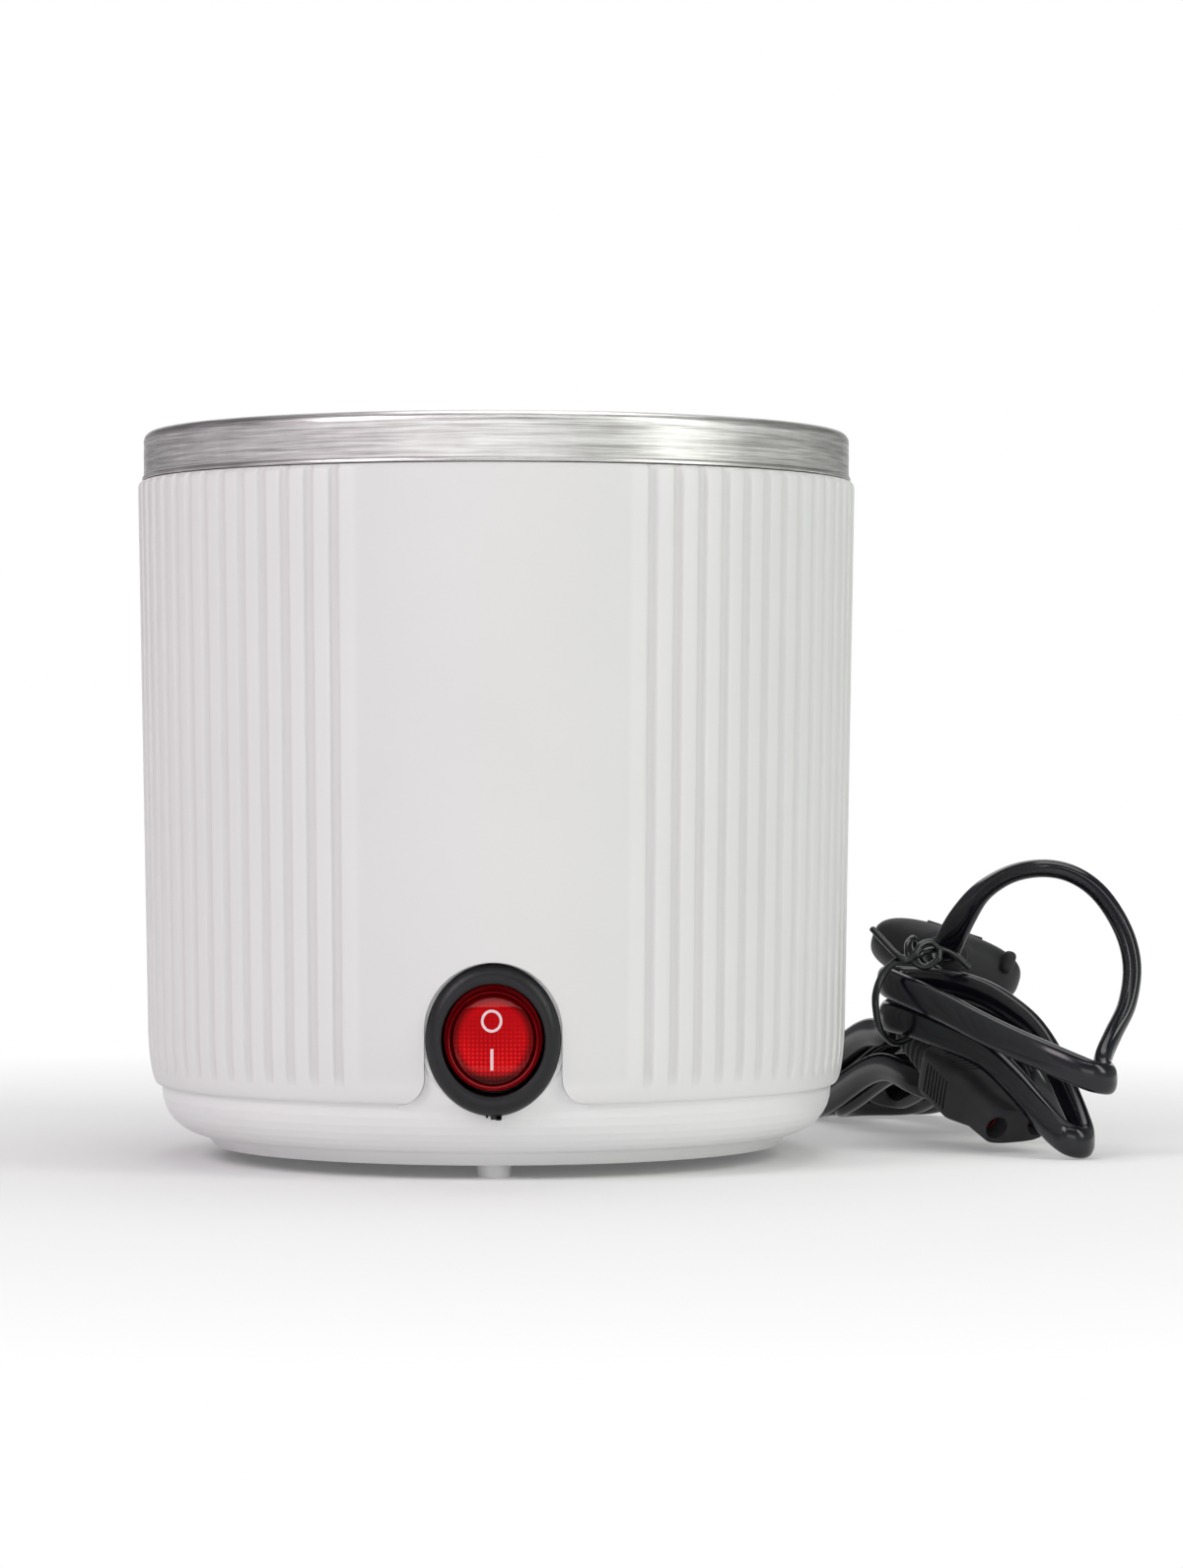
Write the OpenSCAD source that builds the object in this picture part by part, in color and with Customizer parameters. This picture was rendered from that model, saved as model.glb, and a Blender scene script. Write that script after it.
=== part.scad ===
// Wax heater for a dental laboratory: a deep-drawn aluminium pot in a ribbed plastic sleeve,
// a bowl-shaped base with a lit rocker switch, and a detachable mains lead tied in a bundle.
// Origin: centre of the ring of feet, on the surface it stands on. Front faces -Y.

/* [Sleeve] */
// Diameter of the ribbed sleeve at its top edge
sleeve_d = 130; // [128:0.5:131]
// Height of the sleeve's top edge above the surface
sleeve_top = 122.2; // [118:0.2:126]
// Radius that the sleeve loses from its top to its bottom curve
sleeve_taper = 1.7; // [1.2:0.1:2]
// Number of grooves round the sleeve
groove_count = 72; // [60:1:80]
// Depth of the grooves between the ribs
groove_depth = 0.6; // [0.3:0.1:0.8]
// Angle of the smooth panel at the front
panel_angle = 45.2; // [36:0.4:60]

/* [Pot] */
// Inner diameter of the pot at its mouth
pot_d = 112; // [108:0.5:112.5]
// Depth of the pot below its rim
pot_depth = 81; // [78:0.5:82]
// Height of the turned-down rim band
rim_h = 8.7; // [7:0.1:10]
// Thickness of the drawn aluminium
pot_wall = 1.2; // [1:0.1:1.4]

/* [Switch] */
// Height of the switch above the surface
switch_z = 24.5; // [24:0.1:25.5]
// Width of the black bezel
bezel_w = 23; // [22:0.1:23.2]
// Height of the black bezel
bezel_h = 25.9; // [23:0.1:26]
// Tilt of the rocker to each side of its middle position
rocker_tilt = 9; // [7:0.5:9]

/* [Feet] */
// Number of stub feet
foot_count = 3; // [3:1:3]
// Height of the foot ring's underside above the surface
foot_h = 2.3; // [2:0.1:3]
// Radius of the circle that the feet stand on
foot_circle = 46.5; // [42:0.5:47]

/* [Lead] */
// Width of the flat twin cord
cord_w = 5.6; // [5.2:0.1:5.8]
// Thickness of the flat twin cord
cord_t = 3.4; // [3:0.1:3.6]
// Loops in the tied hank, wound in two layers
hank_loops = 4; // [2:2:4]

/* [Hidden] */
$fn = 96;
eps = 0.01;

// Sleeve
sleeve_r = sleeve_d / 2;
sleeve_low_r = sleeve_r - sleeve_taper;
sleeve_wall = 1.9;
sleeve_bottom = 13.4;
bend_z = 25;
bottom_in = 1.9;
top_round = 1.2;
groove_end = 2.3;
land_share = 0.52;

// Base
bowl_r = 8.2;
bowl_edge = sleeve_low_r - bottom_in - 0.7;
bowl_centre = bowl_edge - bowl_r;
bowl_z = 12.5;
collar_r = bowl_edge - 1.3;
collar_top = 32;
base_wall = 2.2;
floor_z = 4.3;
notch_w = 23.6;
notch_round = 4.5;
notch_gap = 0.15;
pad_y = sleeve_low_r - 1.8;
post_r = 42;
post_angles = [0, 120, 240];
plate_z = 40;
plate_t = 1.2;

// Pot
rim_top = sleeve_top + 0.1 + rim_h;
pot_r = pot_d / 2;
pot_low_r = pot_r - 2;
pot_floor = rim_top - pot_depth;
pot_under = pot_floor - pot_wall;
band_zone = 36;
band_r = pot_low_r + pot_wall + 0.05;
band_z = pot_floor + 11;
stud_r = 34;
stud_angles = [60, 180, 300];

// Switch
panel_hole = 20.2;
barrel_d = 20;
opening_w = 17.5;
opening_h = 19;
bezel_t = 2.4;
pivot_y = -(pad_y - 2.3);
pivot_r = 1;
barrel_back = -(pad_y - 20.5);
blade_y = -47.2;
blade_tilt = rocker_tilt - 1;

// Figure-8 inlet and lead
pin_gap = 8.6;
pin_r = 1.18;
inlet_back = pad_y - 15.5;

// Connector on the lead: nose tip, tail end and the way its wide side lies
nose = [95, 1, 4.9];
tail = [78.5, 37, 21];
// Plug on the lead
plug_tail = [85, 36, 35];
plug_nose = [87, 62, 32.5];

// Points along an arc, in degrees
function arc(c, r, a0, a1, n) = [for (i = [0:n]) let (a = a0 + (a1 - a0) * i / n) c + r * [cos(a), sin(a)]];
function unit(v) = v / norm(v);
// Points through p by Catmull-Rom, k steps between two of them; rows may hold more than a place
function pick(p, i) = p[max(0, min(len(p) - 1, i))];
function mix(a, b, c, d, t) =
  0.5 * ((2 * b) + (c - a) * t + (2 * a - 5 * b + 4 * c - d) * t * t + (3 * b - a - 3 * c + d) * t * t * t);
function smooth(p, k) = [
  for (i = [0:len(p) - 2], j = [0:k - 1]) mix(pick(p, i - 1), p[i], p[i + 1], pick(p, i + 2), j / k),
  p[len(p) - 1]];
function place(row) = [row[0], row[1], row[2]];
function side(row) = [row[3], row[4], row[5]];
function heading(p, i) = unit(place(pick(p, i + 1)) - place(pick(p, i - 1)));

// Cross-section of the flat twin cord, as an oval with m corners
function oval(w, t, m) = [for (i = [0:m - 1]) let (a = 360 * (i + 0.5) / m)
  [(w - t) / 2 * sign(cos(a)) + t / 2 * cos(a) / cos(180 / m), t / 2 * sin(a) / cos(180 / m)]];
function round_section(r, m) = [for (i = [0:m - 1]) r * [cos(360 * i / m), sin(360 * i / m)]];

// Corners of the swept rings; each row of the path holds a place and the way the wide side lies
function rings(path, section) = [
  for (i = [0:len(path) - 1])
    let (t = heading(path, i), s = side(path[i]), w = unit(s - (s * t) * t), b = cross(t, w))
      [for (q = section) place(path[i]) + q[0] * w + q[1] * b]];

// One tube along the path, its faces all triangles
module sweep(path, section) {
  r = rings(path, section);
  n = len(path);
  m = len(section);
  polyhedron(
    points = [for (ring = r) each ring],
    faces = [
      for (i = [0:n - 2], j = [0:m - 1]) let (k = (j + 1) % m) each [
        [i * m + j, i * m + k, (i + 1) * m + j],
        [(i + 1) * m + j, i * m + k, (i + 1) * m + k]],
      for (j = [1:m - 2]) [0, j + 1, j],
      for (j = [1:m - 2]) [(n - 1) * m, (n - 1) * m + j, (n - 1) * m + j + 1]]);
}

// A bolt with its head below, standing on the origin
module screw(r, length, head_r, head_h) {
  cylinder(r = head_r, h = head_h);
  translate([0, 0, head_h - eps]) cylinder(r = r, h = length + eps);
}

module hex_nut(across, h, hole_r) {
  difference() {
    cylinder(d = across / cos(30), h = h, $fn = 6);
    translate([0, 0, -1]) cylinder(r = hole_r, h = h + 2);
  }
}

module tube(r_out, r_in, h) {
  difference() {
    cylinder(r = r_out, h = h);
    translate([0, 0, -1]) cylinder(r = r_in, h = h + 2);
  }
}

module around(angles, r) {
  for (a = angles) rotate([0, 0, a]) translate([r, 0, 0]) children();
}

// Outer radius of the sleeve at height z
function sleeve_at(z) = z > bend_z
  ? sleeve_low_r + sleeve_taper * (z - bend_z) / (sleeve_top - top_round - bend_z)
  : sleeve_low_r - bottom_in
    + bottom_in * sqrt(max(0, 1 - pow((bend_z - z) / (bend_z - sleeve_bottom), 2)));

// Arched opening in the sleeve, standing on its bottom edge and drawn in plan as seen from outside
module notch_outline(gap) {
  w = notch_w / 2 - gap;
  arch_z = switch_z + bezel_h / 2 + 0.3 - notch_w / 2;
  translate([0, arch_z]) circle(r = w);
  translate([-w, sleeve_bottom - 2]) square([2 * w, arch_z - sleeve_bottom + 2]);
  difference() {
    translate([-w - notch_round, sleeve_bottom - 2])
      square([2 * (w + notch_round), notch_round + 2 - gap]);
    for (s = [-1, 1]) translate([s * (w + notch_round), sleeve_bottom + notch_round - gap])
      circle(r = notch_round);
  }
}

module notch_block(gap) {
  for (turn = [0, 180]) rotate([90, 0, turn]) translate([0, 0, 40]) linear_extrude(30) notch_outline(gap);
}

module groove(a, width) {
  z0 = sleeve_bottom + groove_end;
  floor_r = function(z) sleeve_at(z) - groove_depth;
  rotate([0, 0, a]) rotate_extrude(angle = width)
    polygon([[sleeve_at(z0) + 0.05, z0], [floor_r(z0 + 2.4), z0 + 2.4], [floor_r(bend_z), bend_z],
      [floor_r(sleeve_top - top_round), sleeve_top + 1], [sleeve_r + 2, sleeve_top + 1], [sleeve_r + 2, z0]]);
}

module ribbed_sleeve() color("white") {
  inner = function(z) sleeve_at(z) - sleeve_wall;
  pitch = (360 - panel_angle) / groove_count;
  width = pitch * (1 - land_share);
  start = -90 + panel_angle / 2 + (pitch - width) / 2;
  zs = [for (i = [0:5]) sleeve_bottom + (bend_z - sleeve_bottom) * (1 - cos(18 * i))];
  difference() {
    rotate_extrude() polygon([
      for (z = zs) [sleeve_at(z), z],
      each arc([sleeve_r - top_round, sleeve_top - top_round], top_round, 0, 90, 3),
      [sleeve_r - sleeve_wall - 0.5, sleeve_top],
      [inner(sleeve_top - 3), sleeve_top - 3],
      for (i = [5:-1:0]) [inner(zs[i]) , zs[i]]]);
    for (i = [0:groove_count - 1]) groove(start + i * pitch, width);
    notch_block(0);
  }
}

module bowl_shell() {
  rotate_extrude() polygon([
    each arc([bowl_centre, bowl_z], bowl_r, -75, 0, 7),
    [bowl_edge, sleeve_bottom], [collar_r, sleeve_bottom], [collar_r, collar_top],
    [collar_r - base_wall, collar_top],
    each arc([bowl_centre - 0.7, bowl_z], bowl_r - base_wall - 0.4, 0, -90, 5),
    [0, bowl_z - bowl_r + base_wall + 0.4], [0, floor_z],
    [bowl_centre - 3.2, floor_z], [bowl_centre - 3, foot_h], [bowl_centre - 1.3, foot_h],
    [bowl_centre + 0.7, bowl_z - bowl_r + 0.3]]);
}

// Raised pad that fills the sleeve's arch and carries the switch or the inlet
module pad(turn) {
  rotate([0, 0, turn]) intersection() {
    rotate([90, 0, 0]) translate([0, 0, 40]) linear_extrude(30) notch_outline(notch_gap);
    union() {
      rotate([0, 0, -115]) rotate_extrude(angle = 50) polygon([
        [collar_r - base_wall, sleeve_bottom - 2], [bowl_edge - 0.3, sleeve_bottom - 2],
        [bowl_edge + 0.4, sleeve_bottom], [sleeve_low_r - 0.9, bend_z - 3],
        [sleeve_low_r - 0.7, switch_z + bezel_h / 2 + 1],
        [collar_r - base_wall, switch_z + bezel_h / 2 + 1]]);
      translate([0, -pad_y, switch_z]) rotate([-90, 0, 0]) cylinder(r1 = 12.3, r2 = 14.3, h = 5);
    }
  }
}

module base_post() {
  difference() {
    union() {
      translate([0, 0, floor_z]) cylinder(r = 5, h = 11);
      translate([0, 0, floor_z]) cylinder(r = 4, h = plate_z - floor_z);
    }
    translate([0, 0, floor_z - 1]) cylinder(r = 3.6, h = 12 - floor_z + 1);
    cylinder(r = 1.9, h = plate_z + 1);
  }
}

module vent_slot() {
  translate([-0.9, 0, floor_z - 1]) cube([1.8, 10, 5]);
}

module base_bowl() color("whitesmoke") {
  difference() {
    union() {
      bowl_shell();
      for (turn = [0, 180]) pad(turn);
      for (i = [0:foot_count - 1]) rotate([0, 0, -90 + 360 / foot_count * i])
        translate([foot_circle, 0, 0]) cylinder(r1 = 2.9, r2 = 3.35, h = floor_z + 0.5);
    }
    for (turn = [0, 180]) rotate([0, 0, turn]) {
      translate([-20, -pad_y - 5, 5]) cube([40, 5, 40]);
    }
    translate([0, -50, switch_z]) rotate([90, 0, 0]) cylinder(d = panel_hole, h = 20);
    translate([-9.9, 50, switch_z - 5.4]) cube([19.8, 20, 10.8]);
    around(post_angles, post_r) translate([0, 0, -1]) cylinder(r = 3.6, h = 13);
    for (i = [0:11]) rotate([0, 0, 15 + 30 * i]) translate([0, 18, 0]) vent_slot();
  }
  around(post_angles, post_r) base_post();
}

module heating_pot() color("silver") {
  turn_r = 2.6;
  edge = 1.8;
  rim_r = sleeve_r - 1;
  lip = 0.3;
  rotate_extrude() polygon([
    [rim_r - pot_wall, sleeve_top + 0.1], [rim_r + lip, sleeve_top + 0.1],
    [rim_r + lip, sleeve_top + 0.6], [rim_r, sleeve_top + 1],
    each arc([rim_r - edge, rim_top - edge], edge, 0, 90, 6),
    each arc([pot_r + turn_r, rim_top - turn_r], turn_r, 90, 180, 6),
    [pot_low_r, pot_floor + band_zone], [pot_low_r, pot_floor + 8],
    each arc([pot_low_r - 8, pot_floor + 8], 8, 0, -90, 6),
    [0, pot_floor], [0, pot_under],
    each arc([pot_low_r - 8, pot_floor + 8], 8 + pot_wall, -90, 0, 6),
    [pot_low_r + pot_wall, pot_floor + band_zone],
    each arc([pot_r + turn_r, rim_top - turn_r], turn_r - pot_wall, 180, 90, 4),
    each arc([rim_r - edge, rim_top - edge], edge - pot_wall, 90, 0, 3)]);
}

module pot_studs() color("lightgray") {
  around(stud_angles, stud_r) translate([0, 0, plate_z - 4.5]) cylinder(r = 2, h = pot_under - plate_z + 4.5);
  around([90, 270], 15) translate([0, 0, 42]) cylinder(r = 1.5, h = pot_under - 42);
}

module stud_spacers() color("gray") {
  around(stud_angles, stud_r) translate([0, 0, plate_z + plate_t])
    tube(3.5, 2.1, pot_under - plate_z - plate_t);
}

module carrier_plate() color("lightsteelblue") {
  translate([0, 0, plate_z]) difference() {
    cylinder(r = 50, h = plate_t);
    translate([0, 0, -1]) cylinder(r = 22, h = plate_t + 2);
    around(stud_angles, stud_r) translate([0, 0, -1]) cylinder(r = 2.2, h = plate_t + 2);
    around(post_angles, post_r) translate([0, 0, -1]) cylinder(r = 1.9, h = plate_t + 2);
    around([30, 150, 270], 38) translate([0, 0, -1]) cylinder(r = 5, h = plate_t + 2);
  }
}

module stud_nuts() color("gainsboro") {
  around(stud_angles, stud_r) translate([0, 0, plate_z - 3.2]) hex_nut(7, 3.2, 2.05);
}

module base_screws() color("gainsboro") {
  around(post_angles, post_r) translate([0, 0, 9.8]) screw(1.7, 33, 3.2, 2.2);
}

module clinch_nuts() color("gainsboro") {
  around(post_angles, post_r) translate([0, 0, plate_z + plate_t]) hex_nut(6, 3, 1.75);
}

module band_heater() color("tan") {
  difference() {
    union() {
      translate([0, 0, band_z]) tube(band_r + 1.4, band_r, 20);
      for (s = [0, 1]) translate([s * 3.2 - 2.2, band_r + 0.2, band_z + 4]) cube([1.2, 4.4, 12]);
    }
    translate([-1, band_r - 2, band_z - 1]) cube([2, 8, 22]);
    translate([-5, band_r + 3.2, band_z + 10]) rotate([0, 90, 0]) cylinder(r = 0.95, h = 10);
  }
}

module band_clamp_screw() color("gainsboro") {
  translate([-3.6, band_r + 3.2, band_z + 10]) rotate([0, 90, 0]) {
    cylinder(r = 0.85, h = 8);
    cylinder(r = 1.2, h = 1.4);
    translate([0, 0, 5.8]) tube(1.4, 0.8, 1.4);
  }
}

module insulation_blanket() color("ivory") {
  r = band_r + 1.45;
  difference() {
    translate([0, 0, pot_floor + 4]) tube(sleeve_low_r - sleeve_wall - 0.4, r, 54);
    translate([-5, r - 2, band_z + 2]) cube([10, 8, 16]);
    for (s = [-1, 1]) translate([s * 22 - 2, 47, pot_floor + 3]) cube([4, 9, 9]);
  }
}

module thermostat() color("dimgray") {
  translate([0, 0, pot_under - 3.5]) cylinder(r = 8, h = 3.5);
  translate([0, 0, pot_under - 11.5]) cylinder(r = 7.5, h = 8 + eps);
  for (s = [-1, 1]) translate([s * 9.5 - 3.5, -3.15, pot_under - 10.5]) cube([7, 6.3, 0.8]);
}

module thermostat_strap() color("silver") {
  translate([0, 0, pot_under - 4.3]) difference() {
    translate([-9, -18.5, 0]) cube([18, 37, 0.8]);
    translate([0, 0, -1]) cylinder(r = 7.55, h = 3);
    around([90, 270], 15) translate([0, 0, -1]) cylinder(r = 1.6, h = 3);
  }
}

module strap_nuts() color("gainsboro") {
  around([90, 270], 15) translate([0, 0, pot_under - 6.5]) hex_nut(5.5, 2.2, 1.52);
}

module thermal_fuse() color("goldenrod") {
  translate([20, 0, pot_under - 2.6]) rotate([90, 0, 0]) {
    translate([0, 0, -5]) cylinder(r = 2, h = 10);
    translate([0, 0, -14]) cylinder(r = 0.5, h = 28);
  }
}

module fuse_sleeve() color("linen") {
  translate([20, 7.5, pot_under - 2.6]) rotate([90, 0, 0]) tube(2.6, 2.1, 15);
}

// Oval cut or disc, width along X and height along Z, its front at the plane y
module oval_disc(y, w, h, depth) {
  translate([0, y, switch_z]) rotate([-90, 0, 0]) resize([w, h, 0]) cylinder(d = w, h = depth, $fn = 64);
}

module switch_housing() color([0.15, 0.15, 0.16]) {
  difference() {
    union() {
      translate([0, -pad_y, switch_z]) rotate([90, 0, 0]) resize([bezel_w, bezel_h, 0])
        rotate_extrude($fn = 64) polygon([[0, 0], [bezel_w / 2, 0], [bezel_w / 2, 0.5],
          [bezel_w / 2 - 0.5, 1.3], [bezel_w / 2 - 1.3, 2], [bezel_w / 2 - 2.3, bezel_t], [0, bezel_t]]);
      translate([0, -pad_y - 0.5, switch_z]) rotate([-90, 0, 0])
        cylinder(d = barrel_d, h = pad_y + barrel_back + 0.5);
    }
    oval_disc(-pad_y - 5, opening_w, opening_h, 13);
    translate([0, -pad_y, switch_z]) rotate([-90, 0, 0]) cylinder(d = opening_w, h = pad_y + barrel_back - 2);
    translate([-15, pivot_y, switch_z]) rotate([0, 90, 0]) cylinder(r = pivot_r + 0.05, h = 30);
    for (z = [-6, 0, 6]) translate([-2.4, barrel_back - 4, switch_z + z - 0.4]) cube([4.8, 6, 0.8]);
  }
}

// Rocker in its middle position, tilted to the pressed-off side
module switch_rocker() color("red") {
  front = pivot_y - 3;
  translate([0, pivot_y, switch_z]) rotate([-rocker_tilt, 0, 0]) translate([0, -pivot_y, -switch_z]) {
    difference() {
      union() {
        intersection() {
          oval_disc(front, 16.8, 18.3, 5.6);
          translate([-10, pivot_y, switch_z]) rotate([0, 90, 0]) cylinder(r = 9.15, h = 20);
        }
        oval_disc(front - 0.7, 15.6, 16.5, 0.9);
        oval_disc(front - 1.1, 15, 15.9, 0.9);
        oval_disc(front - 1.4, 13.8, 14.7, 0.9);
      }
      oval_disc(front + 1.4, 13.4, 14.4, 8);
    }
    translate([-9.7, pivot_y, switch_z]) rotate([0, 90, 0]) cylinder(r = pivot_r, h = 1.6);
    translate([8.1, pivot_y, switch_z]) rotate([0, 90, 0]) cylinder(r = pivot_r, h = 1.6);
    translate([0, front + 1.2, switch_z]) rotate([-90, 0, 0]) difference() {
      cylinder(r = 2.4, h = 8.4);
      translate([0, 0, 1]) cylinder(r = 1.5, h = 9);
    }
    for (s = [-1, 1]) translate([s * 4.8 - 2.6, front + 1.2, switch_z - 0.6]) cube([5.2, 3, 1.2]);
  }
}

module in_rocker() {
  translate([0, pivot_y, switch_z]) rotate([-rocker_tilt, 0, 0]) children();
}

module contact_plunger() color("ivory") {
  in_rocker() translate([0, 3.4, 0]) rotate([-90, 0, 0]) {
    cylinder(r = 1.4, h = 6.55);
    translate([0, 0, 6.55]) sphere(r = 1.4);
  }
}

module plunger_spring() color("silver") {
  turns = 4;
  length = 3.7;
  steps = 8 * turns;
  path = [for (i = [0:steps]) let (a = 360 * turns * i / steps)
    [0.95 * cos(a), length * i / steps, 0.95 * sin(a), 0, 1, 0]];
  in_rocker() translate([0, -0.55, 0]) sweep(path, round_section(0.2, 6));
}

module contact_blade() color("gold") {
  translate([0, blade_y, switch_z]) rotate([blade_tilt, 0, 0]) {
    translate([-1.9, -0.3, -6.2]) cube([3.8, 0.6, 12.4]);
    translate([0, 0.2, 5]) rotate([-90, 0, 0]) cylinder(r = 1.4, h = 0.9);
    translate([-1.9, 0, 0]) rotate([0, 90, 0]) cylinder(r = 0.5, h = 3.8);
  }
}

module switch_terminals() color("gold") {
  for (z = [-6, 0, 6]) translate([-2.4, barrel_back - 2, switch_z + z - 0.4]) cube([4.8, 11, 0.8]);
  translate([-1.4, barrel_back - 4, switch_z + 4.2]) cube([2.8, 2, 2]);
  translate([-1.4, blade_y + 0.8, switch_z - 0.4]) cube([2.8, barrel_back - 2 - blade_y - 0.8, 0.8]);
}

module neon_lamp() color("orange") {
  translate([-3.7, pivot_y + 7.2, switch_z + 5.2]) rotate([0, 90, 0]) {
    cylinder(r = 1.5, h = 6.2);
    translate([0, 0, 6.2]) sphere(r = 1.5);
    for (x = [0.7, 6.4]) translate([0, 0, x]) rotate([-90, 0, 0])
      cylinder(r = 0.3, h = barrel_back - 2 - pivot_y - 7.2);
  }
}

// Stadium outline of the figure-8 socket and nose
module figure8(w, h) {
  for (s = [-1, 1]) translate([s * (w - h) / 2, 0]) circle(d = h);
  square([w - h, h], center = true);
}

module figure8_inlet() color([0.15, 0.15, 0.16]) {
  translate([0, 0, switch_z]) rotate([-90, 0, 0]) difference() {
    union() {
      translate([-10.2, -7, pad_y]) cube([20.4, 14, 2]);
      translate([-9.7, -5.2, inlet_back]) cube([19.4, 10.4, pad_y - inlet_back + 1]);
    }
    translate([0, 0, inlet_back + 3.5]) linear_extrude(30) figure8(14, 8);
    for (s = [-1, 1]) translate([s * pin_gap / 2, 0, 0]) cylinder(r = pin_r, h = 80);
  }
}

module inlet_pins() color("silver") {
  for (s = [-1, 1]) translate([s * pin_gap / 2, 0, switch_z]) rotate([-90, 0, 0]) {
    translate([0, 0, inlet_back - 1]) cylinder(r = pin_r, h = 14.4);
    translate([0, 0, inlet_back + 13.4]) sphere(r = pin_r);
    translate([-0.4, -2.4, inlet_back - 9]) cube([0.8, 4.8, 8.2]);
  }
}

module terminal_sleeves() color("lightyellow") {
  for (z = [-6, 0, 6]) translate([-3.3, barrel_back + 3, switch_z + z - 1.6]) difference() {
    cube([6.6, 12, 3.2]);
    translate([0.8, -1, 1.1]) cube([5, 8, 1]);
  }
  for (s = [-1, 1]) translate([s * pin_gap / 2 - 1.6, inlet_back - 13, switch_z - 3.3]) difference() {
    cube([3.2, 11, 6.6]);
    translate([1.1, 5, 0.8]) cube([1, 7, 5]);
  }
}

wire_r = 1;
module wire(route) {
  path = smooth([for (p = route) [p[0], p[1], p[2], 0.31, 0.17, 0.93]], 3);
  sweep(path, round_section(wire_r, 8));
}
live_route = [[4.3, 33, 24.5], [5, 27, 23], [12, 18, 22], [17, 12, 30], [17, 11, 38], [19, 11.5, 44],
  [20, 14, pot_under - 2.6]];
fuse_route = [[20, -14, pot_under - 2.6], [18, -12, 43], [13, -11, 37], [8, -13, 32], [2, -19, 30.5],
  [0, -26, switch_z + 6]];
switched_route = [[0, -26, switch_z - 6], [-1, -20, 18], [-9, -12, 19], [-16, -7, 27], [-17, -2, 34],
  [-13, 0, pot_under - 10.1]];
heater_route = [[13, 0, pot_under - 10.1], [17, 2, 35], [24, 8, 34], [30, 22, 34.5], [28, 40, 35.5],
  [25.5, 49.5, 42], [22, 51.8, band_z - 5], [22, 51.8, band_z]];
neutral_route = [[-4.3, 33, 23.3], [-5, 27, 21], [-15, 20, 20], [-26, 20, 24], [-34, 24, 31], [-30, 40, 35.5],
  [-25.5, 49.5, 42], [-22, 51.8, band_z - 5], [-22, 51.8, band_z]];
lamp_route = [[-4.3, 33, 25.7], [-4, 27, 27], [-3, 12, 29], [-2, -8, 27], [0, -20, 25], [0, -26, switch_z]];

module live_wire() color("brown") wire(live_route);
module fuse_wire() color("brown") wire(fuse_route);
module switched_wire() color("black") wire(switched_route);
module lamp_wire() color("royalblue") wire(lamp_route);
module heater_wire() color("saddlebrown") wire(heater_route);
module neutral_wire() color("royalblue") wire(neutral_route);

// Frame at a place on the lead: its Z runs along the piece, its X along the piece's wide side
module along(from, to, wide) {
  z = unit(to - from);
  x = unit(wide - (wide * z) * z);
  y = cross(z, x);
  multmatrix([for (k = [0:2]) [x[k], y[k], z[k], from[k]]]) children();
}

connector_wide = [0.9, 0.44, 0.06];
connector_l = norm(nose - tail);
connector_relief = 15;

module slab(w, t, h) {
  linear_extrude(h) figure8(w, t, $fn = 32);
}

// Outline of the connector's body, half as wide as w at its shoulder and its nose
function body_outline(start, shoulder, nose_half) = [
  [start, connector_relief], [shoulder, connector_relief + 3], [shoulder, connector_relief + 14],
  [nose_half, connector_l - 9], [-nose_half, connector_l - 9], [-shoulder, connector_relief + 14],
  [-shoulder, connector_relief + 3], [-start, connector_relief]];

module appliance_connector() color([0.12, 0.12, 0.13]) {
  along(tail, nose, connector_wide) difference() {
    union() {
      slab(cord_w + 1.2, cord_t + 1.6, connector_relief + 1);
      for (i = [0:4]) translate([0, 0, 2 + 2.7 * i]) slab(8.2 + 0.5 * i, 6.2 + 0.4 * i, 1.3);
      intersection() {
        slab(15.5, 9.6, connector_l - 8);
        rotate([90, 0, 0]) translate([0, 0, -8]) linear_extrude(16) polygon(body_outline(5.5, 7.75, 6.9));
        rotate([90, 0, 90]) translate([0, 0, -10]) linear_extrude(20) polygon(body_outline(4.2, 4.8, 3.7));
      }
      translate([0, 0, connector_l - 10]) slab(13.4, 7, 10);
    }
    for (s = [-1, 1]) translate([s * pin_gap / 2, 0, connector_l - 10]) cylinder(r = 1.6, h = 12);
  }
}

plug_wide = [1, 0.1, -0.1];
plug_l = norm(plug_nose - plug_tail);
plug_gap = 19;

module mains_plug() color([0.12, 0.12, 0.13]) {
  along(plug_tail, plug_nose, plug_wide) hull() {
    slab(8.6, 6.4, 0.5);
    translate([0, 0, 6]) slab(12, 9, 0.5);
    translate([0, 0, 14]) slab(29, 13, 0.5);
    translate([0, 0, plug_l - 0.5]) slab(30, 13.7, 0.5);
  }
}

module plug_pins() color("silver") {
  along(plug_tail, plug_nose, plug_wide) for (s = [-1, 1]) translate([s * plug_gap / 2, 0, plug_l]) {
    cylinder(r = 2, h = 17.5);
    translate([0, 0, 17.5]) cylinder(r1 = 2, r2 = 1, h = 1.5);
  }
}

// Hank behind the bundle: loops spiral inwards on the upper layer and outwards on the lower one
hank_centre = [82, 66];
hank_way = unit([0.38, -0.93]);
hank_run = 16;
hank_r = 14.2;
hank_step = 4.6;
hank_layer = cord_w + 1.1;
hank_start = 0.04;
hank_turns = hank_loops + 13 / 24;
hank_end = hank_start + hank_turns;
cord_color = [0.08, 0.08, 0.09];

function ease(t) = let (s = min(1, max(0, t))) s * s * (3 - 2 * s);
// Height that the stiff cord keeps above the surface, from the far end to the tied end
function hank_rise(u) = 9.5 * ease((u + 24) / 34) - 4.5 * ease((u - 10) / 22);
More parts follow.
